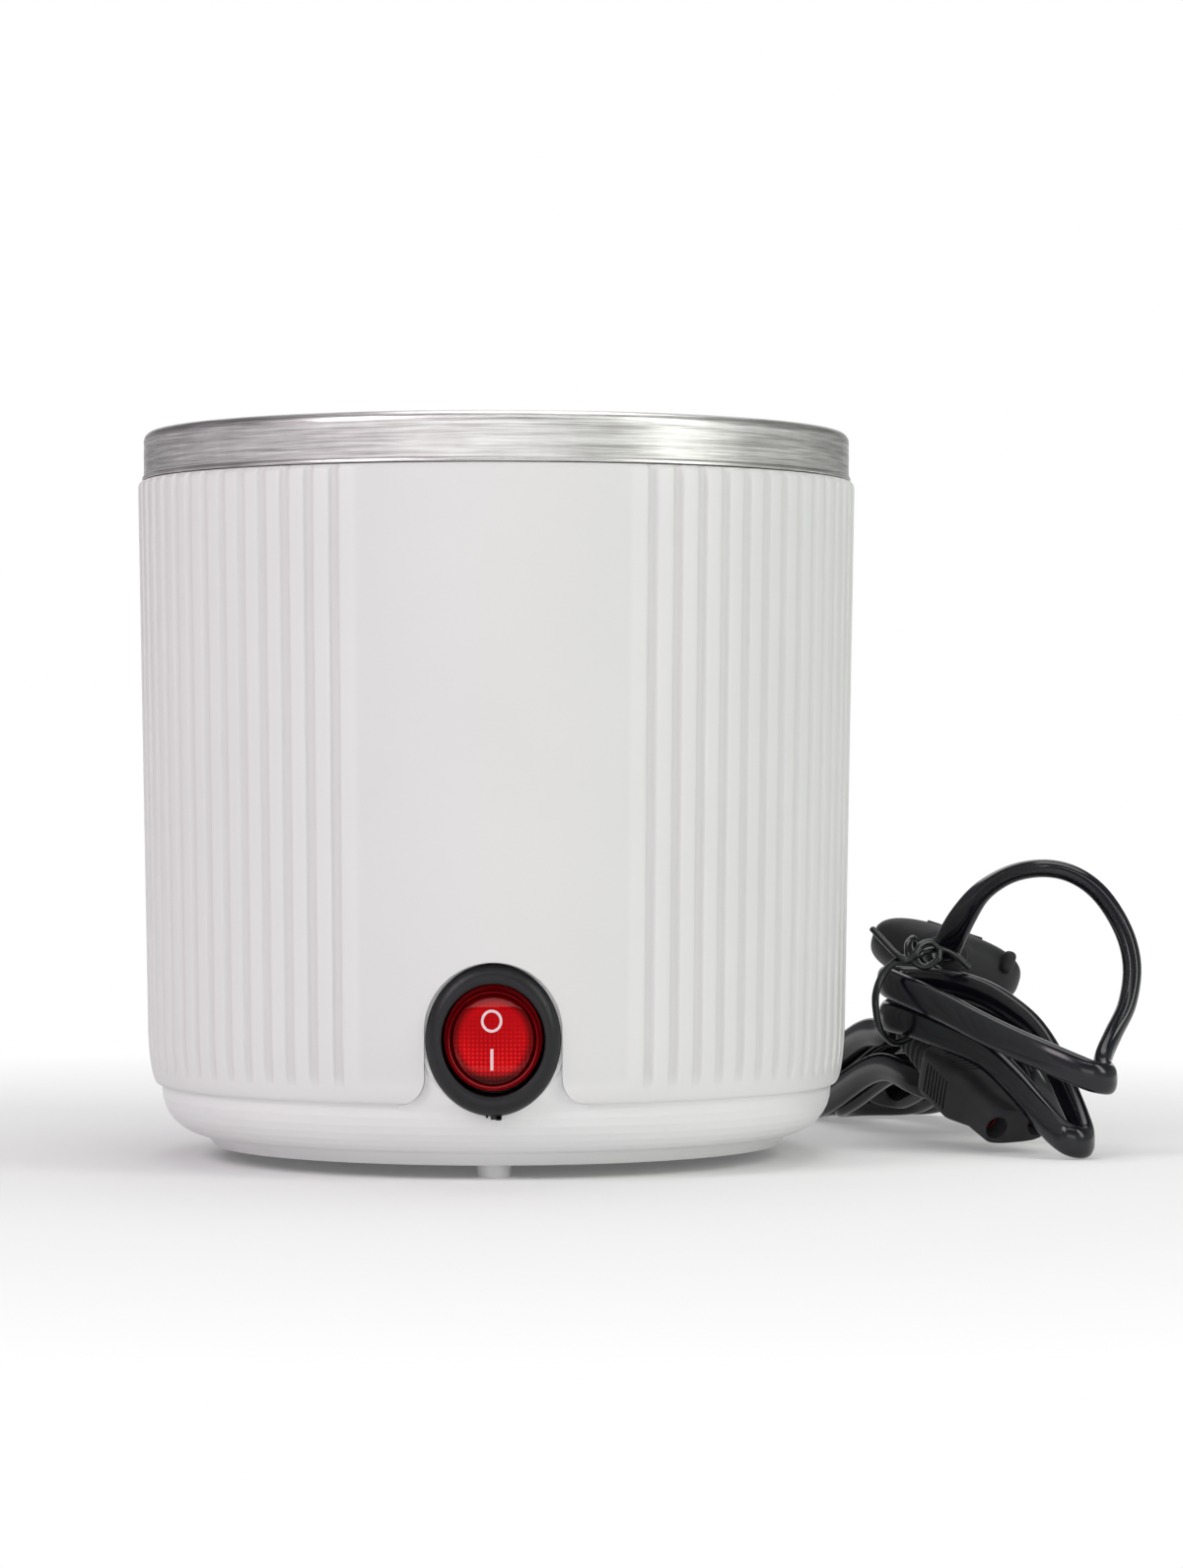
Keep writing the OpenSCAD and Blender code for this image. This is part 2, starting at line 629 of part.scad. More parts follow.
// Place on an oblong loop with ends of radius w, after p turns
function oblong(p, w) = let (q = p - floor(p))
  q < 0.2 ? [hank_run * (1 - 10 * q), -w]
  : q < 0.5 ? [-hank_run + w * cos(600 * q - 30), -w * sin(600 * q - 30)]
  : q < 0.7 ? [hank_run * (10 * q - 6), w]
  : [hank_run + w * cos(600 * q - 510), -w * sin(600 * q - 510)];
function hank_row(p) =
  let (uv = oblong(p, hank_r - hank_step * min(p - hank_start, hank_end - p)),
    xy = hank_centre + uv[0] * hank_way + uv[1] * [-hank_way[1], hank_way[0]],
    drop = ease((p - (hank_start + hank_end) / 2) / 0.6 + 0.5))
      [xy[0], xy[1], cord_w / 2 + 0.1 + hank_layer * (1 - drop) + hank_rise(uv[0]), 0, 0, 1];
function hank_path(n) = [for (i = [0:round(hank_turns * n)]) hank_row(hank_start + i / n)];
// Gap between two pieces of cord whose wide sides stand upright
function cord_gap(p, q) =
  norm([p[0] - q[0], p[1] - q[1], max(0, abs(p[2] - q[2]) - cord_w + cord_t)]) - cord_t;

// Rows of the free stretches: place of the cord's middle, then the way its wide side lies
tail_route = [
  [78.5, 37, 21, 0.9, 0.44, 0.06], [77.3, 39.7, 22.2, 0.9, 0.4, 0.2], [75.9, 43.2, 22.3, 0.7, 0.2, 0.7],
  [74.4, 46.8, 20.6, 0.2, 0, 1], [73.4, 49.4, 19.3, 0, 0, 1], hank_row(hank_start)];
loop_route = [
  hank_row(hank_end), [95.3, 70.9, 10.5, 0, 0, 1], [97.4, 66, 12.2, 0, 0, 1], [100.8, 60, 12.4, 0, 0, 1],
  [105, 51, 9.6, 0, 0, 1], [107.4, 42, 5.8, 0, 0, 1], [107, 33, 4.4, 0, 0, 1], [103, 27, 8, 0, 0, 1],
  [97.6, 26.6, 15.2, 0, 0, 1], [92, 29.4, 22.4, 0, 0, 1], [85.6, 31.8, 26.6, 0, 0, 1],
  [79.6, 31.8, 27, 0, 0, 1], [75.4, 29.6, 24.8, 0, 0, 1], [73.2, 26.4, 23.9, 0, 0, 1],
  [73.6, 22.6, 23.6, 0, 0, 1], [77, 18, 23, 0, 0, 1], [83, 13, 20.8, 0, 0, 1], [89.4, 6.4, 17.8, 0, 0, 1],
  [94, -0.4, 13.4, 0, 0, 1], [97.8, -6.8, 8.6, 0, 0, 1], [100.6, -11, 5.2, 0, 0, 1],
  [102.8, -13.4, 3.6, 0, 0, 1], [105, -13, 3, 0, 0, 1], [106.2, -10.2, 3.4, 0, 0, 1],
  [105.6, -6.2, 6.2, 0, 0, 1], [104, -1.6, 10.8, 0, 0, 1], [101.8, 3, 16.6, 0, 0, 1], [98.8, 7.8, 21.6, 0, 0, 1],
  [95, 12, 25.2, 0, 0, 1], [90.6, 16.4, 28, 0, 0, 1], [85.4, 21, 29.6, 0, 0, 1], [80.4, 24.8, 30, 0, 0, 1],
  [76, 26.4, 30.2, 0, 0, 1], [73, 24.6, 30.4, 0, 0, 1], [72.8, 21.4, 30.2, 0, 0, 1],
  [75, 17.2, 29.2, 0, 0, 1], [78.4, 12.8, 27.8, 0, 0, 1], [83, 7, 25.8, 0, 0, 1], [88, 0.6, 23.2, 0, 0, 1],
  [93.5, -5, 20.6, 0, 0, 1], [99.2, -9.8, 18.2, 0, 0, 1], [104, -12.8, 16.2, 0, 0, 1],
  [107, -13.8, 15, 0, 0, 1], [109.6, -12.4, 14.4, 0, 0, 1], [110.4, -8.8, 14.4, 0, 0, 1],
  [110, -4.6, 15.4, 0, -0.3, 1], [110.6, -0.8, 17.8, 0, -0.8, 0.6], [112.8, 2.6, 21.8, 0, -1, 0.3],
  [115.6, 5.4, 27, 0, -1, 0.1], [116.8, 8, 33.6, 0, -1, 0], [115.6, 10.4, 40, 0, -1, 0],
  [112, 13, 46.4, 0, -1, 0], [107.4, 15, 50.2, 0, -1, 0], [102, 17, 51.6, 0, -1, 0],
  [96, 20, 50.6, 0.1, -1, 0], [90.8, 23.6, 47.2, 0.3, -0.9, 0], [87.4, 26.6, 42.4, 0.6, -0.7, 0],
  [85.2, 29, 37.8, 0.9, -0.4, 0], [84.7, 31.6, 35.5, 1, 0, 0], [85, 36, 35, 1, 0.1, -0.1]];
// The tie: one end, once round the folded strands, and the other end over the first
tie_r = 0.5;
tie_route = [
  [87.3, 23, 34.4], [83.5, 21.6, 34.8], [80, 20.2, 35], [76.8, 18.8, 34.6], [73.7, 17, 33.2],
  [71.6, 14.6, 30.4], [71, 13.4, 26], [71.8, 14.6, 21.4], [73.7, 17.5, 19.2], [76.4, 21.7, 19.6],
  [79.1, 25.8, 21.2], [81.9, 30, 22.8], [83.7, 32.8, 23.6], [84.9, 34.6, 25.5], [85, 34.8, 28.5],
  [84.3, 33.6, 31], [82.4, 30.8, 33], [80.2, 27.5, 33.4], [78.9, 24.8, 33.4], [78, 21.6, 36.2],
  [75.6, 20.6, 37.4], [72.8, 21.3, 38.8], [70, 22, 40.3]];

module cord_tail() color(cord_color) sweep(tail_route, oval(cord_w, cord_t, 8));
module cord_loop() color(cord_color) sweep(loop_route, oval(cord_w, cord_t, 8));
module cord_hank() color(cord_color) {
  fine = hank_path(72);
  echo(least_gap = min([for (i = [0:len(fine) - 1], j = [i + 36:len(fine) - 1]) cord_gap(fine[i], fine[j])]));
  sweep(hank_path(24), oval(cord_w, cord_t, 6));
}
module wire_tie() color(cord_color)
  sweep(smooth([for (p = tie_route) [each p, 0.4, -0.2, 0.9]], 2), round_section(tie_r, 6));

base_bowl();
ribbed_sleeve();
heating_pot();
pot_studs();
stud_spacers();
carrier_plate();
stud_nuts();
base_screws();
clinch_nuts();
band_heater();
band_clamp_screw();
insulation_blanket();
thermostat();
thermostat_strap();
strap_nuts();
thermal_fuse();
fuse_sleeve();
switch_housing();
switch_rocker();
contact_plunger();
plunger_spring();
contact_blade();
switch_terminals();
neon_lamp();
figure8_inlet();
inlet_pins();
terminal_sleeves();
live_wire();
fuse_wire();
lamp_wire();
switched_wire();
heater_wire();
neutral_wire();
appliance_connector();
cord_tail();
cord_hank();
cord_loop();
mains_plug();
plug_pins();
wire_tie();
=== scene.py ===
import bpy, bmesh, math
from mathutils import Matrix, Vector


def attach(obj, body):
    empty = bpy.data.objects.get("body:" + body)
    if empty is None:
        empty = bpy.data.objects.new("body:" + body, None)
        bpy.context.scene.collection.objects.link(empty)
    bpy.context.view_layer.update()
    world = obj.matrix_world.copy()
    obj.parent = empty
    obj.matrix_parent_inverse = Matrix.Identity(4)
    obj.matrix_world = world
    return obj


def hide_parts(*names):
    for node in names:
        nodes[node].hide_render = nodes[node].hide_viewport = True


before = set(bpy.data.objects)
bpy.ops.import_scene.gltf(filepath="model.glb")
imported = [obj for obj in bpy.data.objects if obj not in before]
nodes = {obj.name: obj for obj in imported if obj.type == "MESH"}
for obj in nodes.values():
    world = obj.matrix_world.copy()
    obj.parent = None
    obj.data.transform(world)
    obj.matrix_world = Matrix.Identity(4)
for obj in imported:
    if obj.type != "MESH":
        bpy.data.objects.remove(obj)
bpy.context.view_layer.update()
scene = bpy.context.scene

# Sizes in mm and degrees, with Z up the heater's axis and the switch towards -Y
MM = 0.001
PER_M = 1000

# Sleeve: above the bend a taper, below it a curve that draws the wall in
SLEEVE_R, SLEEVE_TOP = 65, 122.2
TAPER = 1.7                                 # how much smaller the radius is at the bend
LOW_R = SLEEVE_R - TAPER
BEND, BOTTOM = 25, 13.4                     # heights
BOTTOM_IN = 1.9                             # how far the bottom edge is drawn in
WALL, TOP_ROUND = 1.9, 1.2
ROUND_Z = SLEEVE_TOP - TOP_ROUND
GROOVES, DEPTH = 72, 0.6
PANEL = 45.2                                # angle of the smooth panel
PITCH = (360 - PANEL) / GROOVES
GROOVE_END, FADE_H = 2.3, 2.6               # the grooves' end over the bottom edge, and how they fade there
PANEL_IN = 0.12                             # recess of the panel between its edge strips
STRIP_AT, STRIP_W = 0.4, 0.9                # a strip's middle and half width, as angles
NOTCH_R, NOTCH_ROUND = 11.8, 4.5            # the arch, and the flare at its feet
NOTCH_IN, NOTCH_OVER = 0.1, 0.3             # the cut keeps inside the arch, and the arch clears the bezel
PANEL_STEPS, CURVE_STEPS, TAPER_STEPS = 48, 16, 10

# Pot: a rim band over the sleeve, a rolled mouth and a well with a rounded floor
RIM_TOP, RIM_R = 131, 64
POT_R, POT_DEPTH, POT_WALL = 56, 81, 1.2
WELL_R, FLOOR = POT_R - 2, RIM_TOP - POT_DEPTH
RIM_ROUND, MOUTH_ROUND, FLOOR_ROUND = 1.8, 2.6, 8
BAND_LOW, BAND_STEP, BAND_ROWS = 123.4, 0.45, 13
BAND_IN, WAVE, WAVE_RATE = 0.02, 0.012, 1.9   # the band isn't quite flat

# Switch: a bezel on the flat pad, and a rocker that is tilted about its pins
PANEL_Y, SWITCH_Z = -61.5, 24.5             # the pad's face, and the switch's middle
PIVOT_Y, TILT = -59.2, 9.0
BEZEL_W, BEZEL_H = 23, 25.9
OPENING_W, OPENING_H = 17.5, 19
LENS_Y, LENS_RISE = PIVOT_Y - 3, -0.45      # front of the rocker, and its lens' middle over the pins
WIN_W, WIN_H, WIN_OUT = 13.6, 15.2, 1.3     # the window, and how far it stands out
FACET, FACET_SLOPE = 5.1, 0.30              # half height of the flat middle, and how the facets fall off
BULGE = 0.006                               # the window's crown across its width
ROUND_FROM, ROUND_DROP = 0.86, 4.5          # where its edge begins to round off, and how fast
MARK_PROUD, MARK_SUNK = 0.08, 0.01          # how far the signs stand out and reach in
PRISMS_PER_MM = 1.4

# Lead: a flat twin cord in a hank of oblong loops, with a connector and a plug
CORD_W, CORD_T = 5.6, 3.4
CORD_OFF_FLOOR = 0.1
HANK_CENTRE, HANK_WAY = Vector((82, 66)), Vector((0.38, -0.93)).normalized()
HANK_RUN = 16                               # half length of a loop's straight side
RUN_SHARE = 0.2                             # share of a turn that each straight side takes
HANK_R, HANK_STEP = 14.2, 4.6               # half width of the widest loop, less with each turn inwards
HANK_LAYER, LAYER_CHANGE = CORD_W + 1.1, 0.6   # height of a layer, and the turns from one to the other
HANK_LOOPS, HANK_STEPS = 4, 436
HANK_START, HANK_TURNS = 0.04, HANK_LOOPS + 13 / 24
HANK_END = HANK_START + HANK_TURNS
NOSE, TAIL = (95, 1, 4.9), (78.5, 37, 21)
CONNECTOR_L = (Vector(NOSE) - Vector(TAIL)).length
SOCKET_X, SOCKET_DEEP = 4.3, 10
PLUG_TAIL, PLUG_NOSE = (85, 36, 35), (87, 62, 32.5)
PLUG_L = (Vector(PLUG_NOSE) - Vector(PLUG_TAIL)).length
PIN_X = 9.5


# Outlines and routes
def ellipse(a, b, count):
    """Corners of an ellipse with half axes a and b."""
    turns = [2 * math.pi * i / count for i in range(count)]
    return [(a * math.cos(t), b * math.sin(t)) for t in turns]


def super_oval(a, b, power, count):
    """Corners of an oval that gets squarer with its power; 2 is an ellipse."""
    out = []
    for c, s in ellipse(1, 1, count):
        x = a * math.copysign(abs(c) ** (2 / power), c)
        y = b * math.copysign(abs(s) ** (2 / power), s)
        out.append((x, y))
    return out


def flat_round(width, thick, count):
    """Corners spread evenly along the outline of a strip that is round at both sides."""
    flat, bend, r = width - thick, math.pi * thick / 2, thick / 2
    out = []
    for i in range(count):
        way = (i + 0.5) / count * 2 * (flat + bend)
        side = 1 if way < flat + bend else -1
        way %= flat + bend
        if way < flat:
            out.append((side * (flat / 2 - way), side * r))
        else:
            turn = math.pi / 2 + (way - flat) / bend * math.pi
            out.append((side * (r * math.cos(turn) - flat / 2), side * r * math.sin(turn)))
    return out


def arc(centre, radius, start, end, steps):
    """Points along an arc, by angles in degrees."""
    turns = [math.radians(start + (end - start) * i / steps) for i in range(steps + 1)]
    return [(centre[0] + radius * math.cos(t), centre[1] + radius * math.sin(t)) for t in turns]


def ease(share):
    """A share between 0 and 1 with a soft start and end."""
    s = min(1, max(0, share))
    return s * s * (3 - 2 * s)


def between(before, start, end, after, t):
    """A Catmull-Rom value at t between start and end."""
    slope = end - before
    bow = 2 * before - 5 * start + 4 * end - after
    twist = 3 * start - before - 3 * end + after
    return 0.5 * (2 * start + slope * t + bow * t * t + twist * t ** 3)


def smooth_rows(rows, steps):
    """Rows on a smooth curve through the given ones."""
    last = len(rows) - 1
    out = []
    for i in range(last):
        near = [rows[max(0, min(last, k))] for k in (i - 1, i, i + 1, i + 2)]
        for step in range(steps):
            out.append([between(*values, step / steps) for values in zip(*near)])
    return out + [list(rows[-1])]


def piece_frame(start, end, wide):
    """A frame at start with Z towards end and X as near as can be to the wide side."""
    z = (Vector(end) - Vector(start)).normalized()
    side = Vector(wide)
    x = (side - side.dot(z) * z).normalized()
    y = z.cross(x)
    rows = [(x[i], y[i], z[i], start[i]) for i in range(3)]
    return Matrix(rows + [(0, 0, 0, 1)])


def shifted(place, x, y, z):
    return place @ Matrix.Translation((x, y, z))


def turned(place, angle, axis):
    return place @ Matrix.Rotation(math.radians(angle), 4, axis)


# Frames of the lead's pieces, with Z along their axis, and of the switch
CONNECTOR = piece_frame(TAIL, NOSE, (0.9, 0.44, 0.06))
PLUG = piece_frame(PLUG_TAIL, PLUG_NOSE, (1, 0.1, -0.34))
ROCKER = shifted(turned(Matrix.Translation((0, PIVOT_Y, SWITCH_Z)), -TILT, "X"), 0, -PIVOT_Y, 0)
BEZEL = Matrix.Translation((0, 0, SWITCH_Z))


# Shapes: corners in metres and faces
def loft(rings, cap_end=True, closed=False):
    """Faces from ring to ring, with caps at the ends or closed back to the first ring."""
    count, last = len(rings[0]), len(rings) - 1
    corners = [point for ring in rings for point in ring]
    faces = []
    for i in range(last + 1 if closed else last):
        a, b = i * count, (i + 1) % len(rings) * count
        for j in range(count):
            k = (j + 1) % count
            faces.append((a + j, a + k, b + k, b + j))
    if not closed:
        faces.append(tuple(reversed(range(count))))
        if cap_end:
            faces.append(tuple(range(last * count, len(corners))))
    return corners, faces


def ring_at(place, outline, z):
    """An outline across a frame's axis at a height along it."""
    return [(place @ Vector((x, y, z))) * MM for x, y in outline]


def round_form(place, profile, count, closed=False):
    """A turned form about a frame's axis, from rows of radius and height."""
    return loft([ring_at(place, ellipse(r, r, count), z) for r, z in profile], closed=closed)


def boxy_form(place, stops, count):
    """A form along a frame's axis, from rows of height, half width, half thickness and power."""
    return loft([ring_at(place, super_oval(a, b, power, count), z) for z, a, b, power in stops])


def relief_ring(z, half_w, half_t, power, outline):
    """Rows for one ring of a strain relief, from steps along the axis and how far in they lie."""
    return [(z + along, half_w - inset, half_t - inset, power) for along, inset in outline]


def sweep(rows, section):
    """A form along rows of place and wide side."""
    rings, last = [], len(rows) - 1
    for i, row in enumerate(rows):
        ahead, behind = rows[min(last, i + 1)], rows[max(0, i - 1)]
        along = (Vector(ahead[:3]) - Vector(behind[:3])).normalized()
        side = Vector(row[3:6])
        wide = (side - side.dot(along) * along).normalized()
        thin = along.cross(wide)
        rings.append([(Vector(row[:3]) + x * wide + y * thin) * MM for x, y in section])
    return loft(rings)


def block(place, half, bevel=0.0, segments=2):
    """A block with half sizes along a frame's axes and bevelled edges."""
    bm = bmesh.new()
    bmesh.ops.create_cube(bm, size=2)
    for corner in bm.verts:
        corner.co = Vector([a * b for a, b in zip(corner.co, half)])
    if bevel:
        bmesh.ops.bevel(bm, geom=bm.edges[:], offset=bevel, segments=segments, profile=0.5, affect="EDGES")
    bm.verts.index_update()
    corners = [(place @ corner.co) * MM for corner in bm.verts]
    faces = [tuple(corner.index for corner in face.verts) for face in bm.faces]
    bm.free()
    return corners, faces


def merged(shapes):
    """Several shapes as one."""
    corners, faces = [], []
    for part_corners, part_faces in shapes:
        first = len(corners)
        corners += part_corners
        faces += [tuple(first + i for i in face) for face in part_faces]
    return corners, faces


# Objects
def new_object(name, shape):
    """An object with its faces turned outwards."""
    corners, faces = shape
    mesh = bpy.data.meshes.new(name)
    mesh.from_pydata([tuple(corner) for corner in corners], [], faces)
    mesh.validate()
    bm = bmesh.new()
    bm.from_mesh(mesh)
    bmesh.ops.recalc_face_normals(bm, faces=bm.faces)
    bm.to_mesh(mesh)
    bm.free()
    ob = bpy.data.objects.new(name, mesh)
    scene.collection.objects.link(ob)
    return ob


def smooth(ob, sharp):
    """Smooth shading, with edges over so many degrees left sharp."""
    ob.data.shade_smooth()
    ob.data.set_sharp_from_angle(angle=math.radians(sharp))


def add_piece(name, shape, material, sharp, body="housing"):
    """A piece of the scene that rides on a body of the frame."""
    ob = new_object(name, shape)
    smooth(ob, sharp)
    ob.data.materials.append(material)
    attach(ob, body)
    return ob


def cut(ob, shape):
    """Cut a closed shape out of an object."""
    cutter = new_object("cutter", shape)
    modifier = ob.modifiers.new("cut", "BOOLEAN")
    modifier.object = cutter
    modifier.operation = "DIFFERENCE"
    modifier.solver = "EXACT"
    graph = bpy.context.evaluated_depsgraph_get()
    mesh = bpy.data.meshes.new_from_object(ob.evaluated_get(graph))
    ob.modifiers.clear()
    ob.data = mesh
    bpy.data.objects.remove(cutter)


class Nodes:
    """Short forms for the node tree of a material or of the world."""

    def __init__(self, owner):
        owner.use_nodes = True
        self.owner = owner
        self.tree = owner.node_tree

    def new(self, kind, **settings):
        node = self.tree.nodes.new("ShaderNode" + kind)
        for key, value in settings.items():
            setattr(node, key, value)
        return node

    def feed(self, node, **values):
        """Link sockets to a node's inputs or set them, by name with _ for a space."""
        for name, value in values.items():
            self.fill(node.inputs[name.replace("_", " ")], value)

    def fill(self, socket, value):
        if isinstance(value, bpy.types.NodeSocket):
            self.tree.links.new(value, socket)
        else:
            socket.default_value = value

    def fill_all(self, node, values):
        for socket, value in zip(node.inputs, values):
            self.fill(socket, value)
        return node.outputs[0]

    def surface(self, **values):
        """Feed the Principled shader."""
        self.feed(self.tree.nodes["Principled BSDF"], **values)

    def place(self, kind="Object"):
        """The point in the object's own metres, or as another kind of coordinate."""
        return self.new("TexCoord").outputs[kind]

    def place_in_mm(self):
        node = self.new("Mapping")
        self.feed(node, Vector=self.place(), Scale=(PER_M, PER_M, PER_M))
        return node.outputs["Vector"]

    def parts(self, vector):
        node = self.new("SeparateXYZ")
        self.fill(node.inputs[0], vector)
        return node.outputs[0], node.outputs[1], node.outputs[2]

    def join(self, *parts):
        return self.fill_all(self.new("CombineXYZ"), parts)

    def length(self, vector):
        node = self.new("VectorMath", operation="LENGTH")
        self.fill(node.inputs[0], vector)
        return node.outputs["Value"]

    def math(self, how, *values):
        return self.fill_all(self.new("Math", operation=how), values)

    def vector_math(self, how, *values):
        return self.fill_all(self.new("VectorMath", operation=how), values)

    def mix(self, first, second, share=1.0, how="MULTIPLY"):
        return self.fill_all(self.new("MixRGB", blend_type=how), (share, first, second))

    def round_place(self):
        """The angle round Z (zero at the front), the height and the radius, in metres."""
        x, y, z = self.parts(self.place())
        angle = self.math("ARCTAN2", x, self.math("MULTIPLY", y, -1))
        return angle, z, self.length(self.join(x, y))

    def round_scaled(self, around, along):
        """The angle, height and radius as a vector for noise that runs round the axis."""
        angle, height, radius = self.round_place()
        scaled = [self.math("MULTIPLY", angle, around)]
        scaled += [self.math("MULTIPLY", part, along) for part in (height, radius)]
        return self.join(*scaled)

    def noise(self, vector, scale, detail, rough=0.5):
        node = self.new("TexNoise")
        self.feed(node, Vector=vector, Scale=scale, Detail=detail, Roughness=rough)
        return node.outputs["Fac"]

    def ramp(self, value, *stops):
        """A colour ramp with stops of place and colour."""
        node = self.new("ValToRGB")
        marks = node.color_ramp.elements
        while len(marks) < len(stops):
            marks.new(0.5)
        for mark, (place, colour) in zip(marks, stops):
            mark.position = place
            mark.color = (*colour, 1)
        self.fill(node.inputs[0], value)
        return node.outputs[0]

    def bump(self, height, strength, distance):
        node = self.new("Bump")
        self.feed(node, Height=height, Strength=strength, Distance=distance * MM)
        return node.outputs[0]

    def remap(self, value, low, high, start=0.0, end=1.0):
        """Map a value from start and end to low and high."""
        node = self.new("MapRange")
        self.feed(node, Value=value, From_Min=start, From_Max=end, To_Min=low, To_Max=high)
        return node.outputs["Result"]


# Materials
WHITE = (1.0, 1.0, 1.0)


def new_material(name):
    return Nodes(bpy.data.materials.new(name))


def moulded(name, colour, rough=0.4, grain=0.02, spread=0.03, scale=2.2, specular=0.5):
    """Nodes with a slow change of tone and a fine grain, whose scale is per mm and depth in mm."""
    n = new_material(name)
    place = n.place_in_mm()
    slow, fine = n.noise(place, 0.03, 3), n.noise(place, scale, 3)
    dark = tuple(part * (1 - spread) for part in colour)
    light = tuple(part * (1 + spread) for part in colour)
    n.surface(Base_Color=n.ramp(slow, (0.3, dark), (0.7, light)), Specular_IOR_Level=specular,
              Roughness=n.remap(fine, rough * 0.9, rough * 1.12), Normal=n.bump(fine, 0.25, grain))
    return n


def plastic(name, colour, rough=0.4, **looks):
    return moulded(name, colour, rough, **looks).owner


def metal(name, colour, rough):
    n = moulded(name, colour, rough, grain=0.01, spread=0.06, scale=1.5)
    n.surface(Metallic=1.0)
    return n.owner


def sleeve_white_painted_groove_shade():
    """White plastic with painted shade, a little darker the deeper it lies under the ribs' crests: in the
    grooves and on the panel's recess.
    """
    n = moulded("sleeve_white_pp_painted_groove_shade", (0.80, 0.80, 0.793), 0.42, grain=0.03, spread=0.012, scale=1.2)
    plain = n.tree.nodes["Principled BSDF"].inputs["Base Color"].links[0].from_socket
    # Painted shade: the deeper a point lies under the crests, the darker it is, in the grooves and on the
    # recessed panel
    _, height, radius = n.round_place()
    below = n.math("POWER", n.remap(height, 1.0, 0.0, BOTTOM * MM, BEND * MM), 2)
    curve = n.math("SQRT", n.math("SUBTRACT", 1, below))
    drawn_in = n.math("MULTIPLY", n.math("SUBTRACT", 1, curve), BOTTOM_IN * MM)
    crests = n.remap(height, LOW_R * MM, SLEEVE_R * MM, BEND * MM, ROUND_Z * MM)
    under = n.math("SUBTRACT", n.math("SUBTRACT", crests, drawn_in), radius)
    deep = n.remap(under, 0.0, 1.0, 0.02 * MM, DEPTH * MM)
    tint = n.ramp(deep, (0.0, WHITE), (0.2, (0.95, 0.95, 0.948)), (1.0, (0.90, 0.891, 0.896)))
    n.surface(Base_Color=n.mix(plain, tint))
    return n.owner


def brushed_aluminium():
    """Turned metal with streaks and hairlines round the axis and a few dull spots."""
    n = new_material("brushed_aluminium")
    streak = n.noise(n.round_scaled(1.7, 1500.0), 1.0, 5, 0.6)
    hair = n.noise(n.round_scaled(7.0, 5600.0), 1.0, 2, 0.5)
    spot = n.noise(n.place_in_mm(), 0.16, 4, 0.6)
    brushed = n.math("MULTIPLY", n.math("ADD", streak, hair), 0.5)
    dark, mid, light = (0.47, 0.455, 0.45), (0.72, 0.708, 0.698), (0.92, 0.91, 0.90)
    tone = n.ramp(brushed, (0.37, dark), (0.5, mid), (0.62, light))
    dirt = n.ramp(spot, (0.38, (0.86, 0.85, 0.85)), (0.62, WHITE))
    n.surface(Base_Color=n.mix(tone, dirt, 0.6), Metallic=1.0, Normal=n.bump(brushed, 0.25, 0.04),
              Roughness=n.remap(brushed, 0.30, 0.44, 0.3, 0.7))
    return n.owner


def red_lens_painted_shade():
    """Clear red moulding with a grid of prisms on its back, with painted shade round its edge and a painted
    dark band at its foot.
    """
    n = new_material("lens_red_pc_painted_shade")
    place = n.place()
    x, _, z = n.parts(place)

    def wave(part):
        turns = n.math("MULTIPLY", part, 2 * math.pi * PRISMS_PER_MM * PER_M)
        return n.remap(n.math("SINE", turns), 0.0, 1.0, -1.0, 1.0)

    prisms = n.math("MULTIPLY", wave(x), wave(z))
    soft = n.noise(n.place_in_mm(), 0.16, 2)
    low = n.remap(z, 1.0, 0.15, (SWITCH_Z - 5) * MM, (SWITCH_Z + 3) * MM)
    glow = n.math("MULTIPLY_ADD", n.math("MULTIPLY", prisms, low), 0.75, n.remap(soft, 0.25, 0.5))
    dark, mid, light = (0.24, 0.0, 0.003), (0.56, 0.0003, 0.003), (0.86, 0.012, 0.015)
    tone = n.ramp(glow, (0.2, dark), (0.5, mid), (0.9, light))
    # Painted shade: the window darkens round its edge
    half_w, half_h, middle = WIN_W / 2, WIN_H / 2, SWITCH_Z + 0.2
    from_middle = n.vector_math("MULTIPLY_ADD", place, (PER_M / half_w, 0, PER_M / half_h),
                                (0, 0, -middle / half_h))
    edge = n.ramp(n.length(from_middle), (0.0, WHITE), (0.78, WHITE), (0.93, (0.3, 0.25, 0.25)))
    # Painted shade: a dark band across the window's foot
    rise = n.remap(z, 0.0, 1.0, (SWITCH_Z - 6.3) * MM, (SWITCH_Z - 5.0) * MM)
    foot = n.ramp(rise, (0.0, (0.3, 0.26, 0.3)), (1.0, WHITE))
    n.surface(Base_Color=n.mix(n.mix(tone, edge), foot), Normal=n.bump(glow, 0.3, 0.04),
              Roughness=n.remap(soft, 0.05, 0.1), Specular_IOR_Level=0.14)
    return n.owner


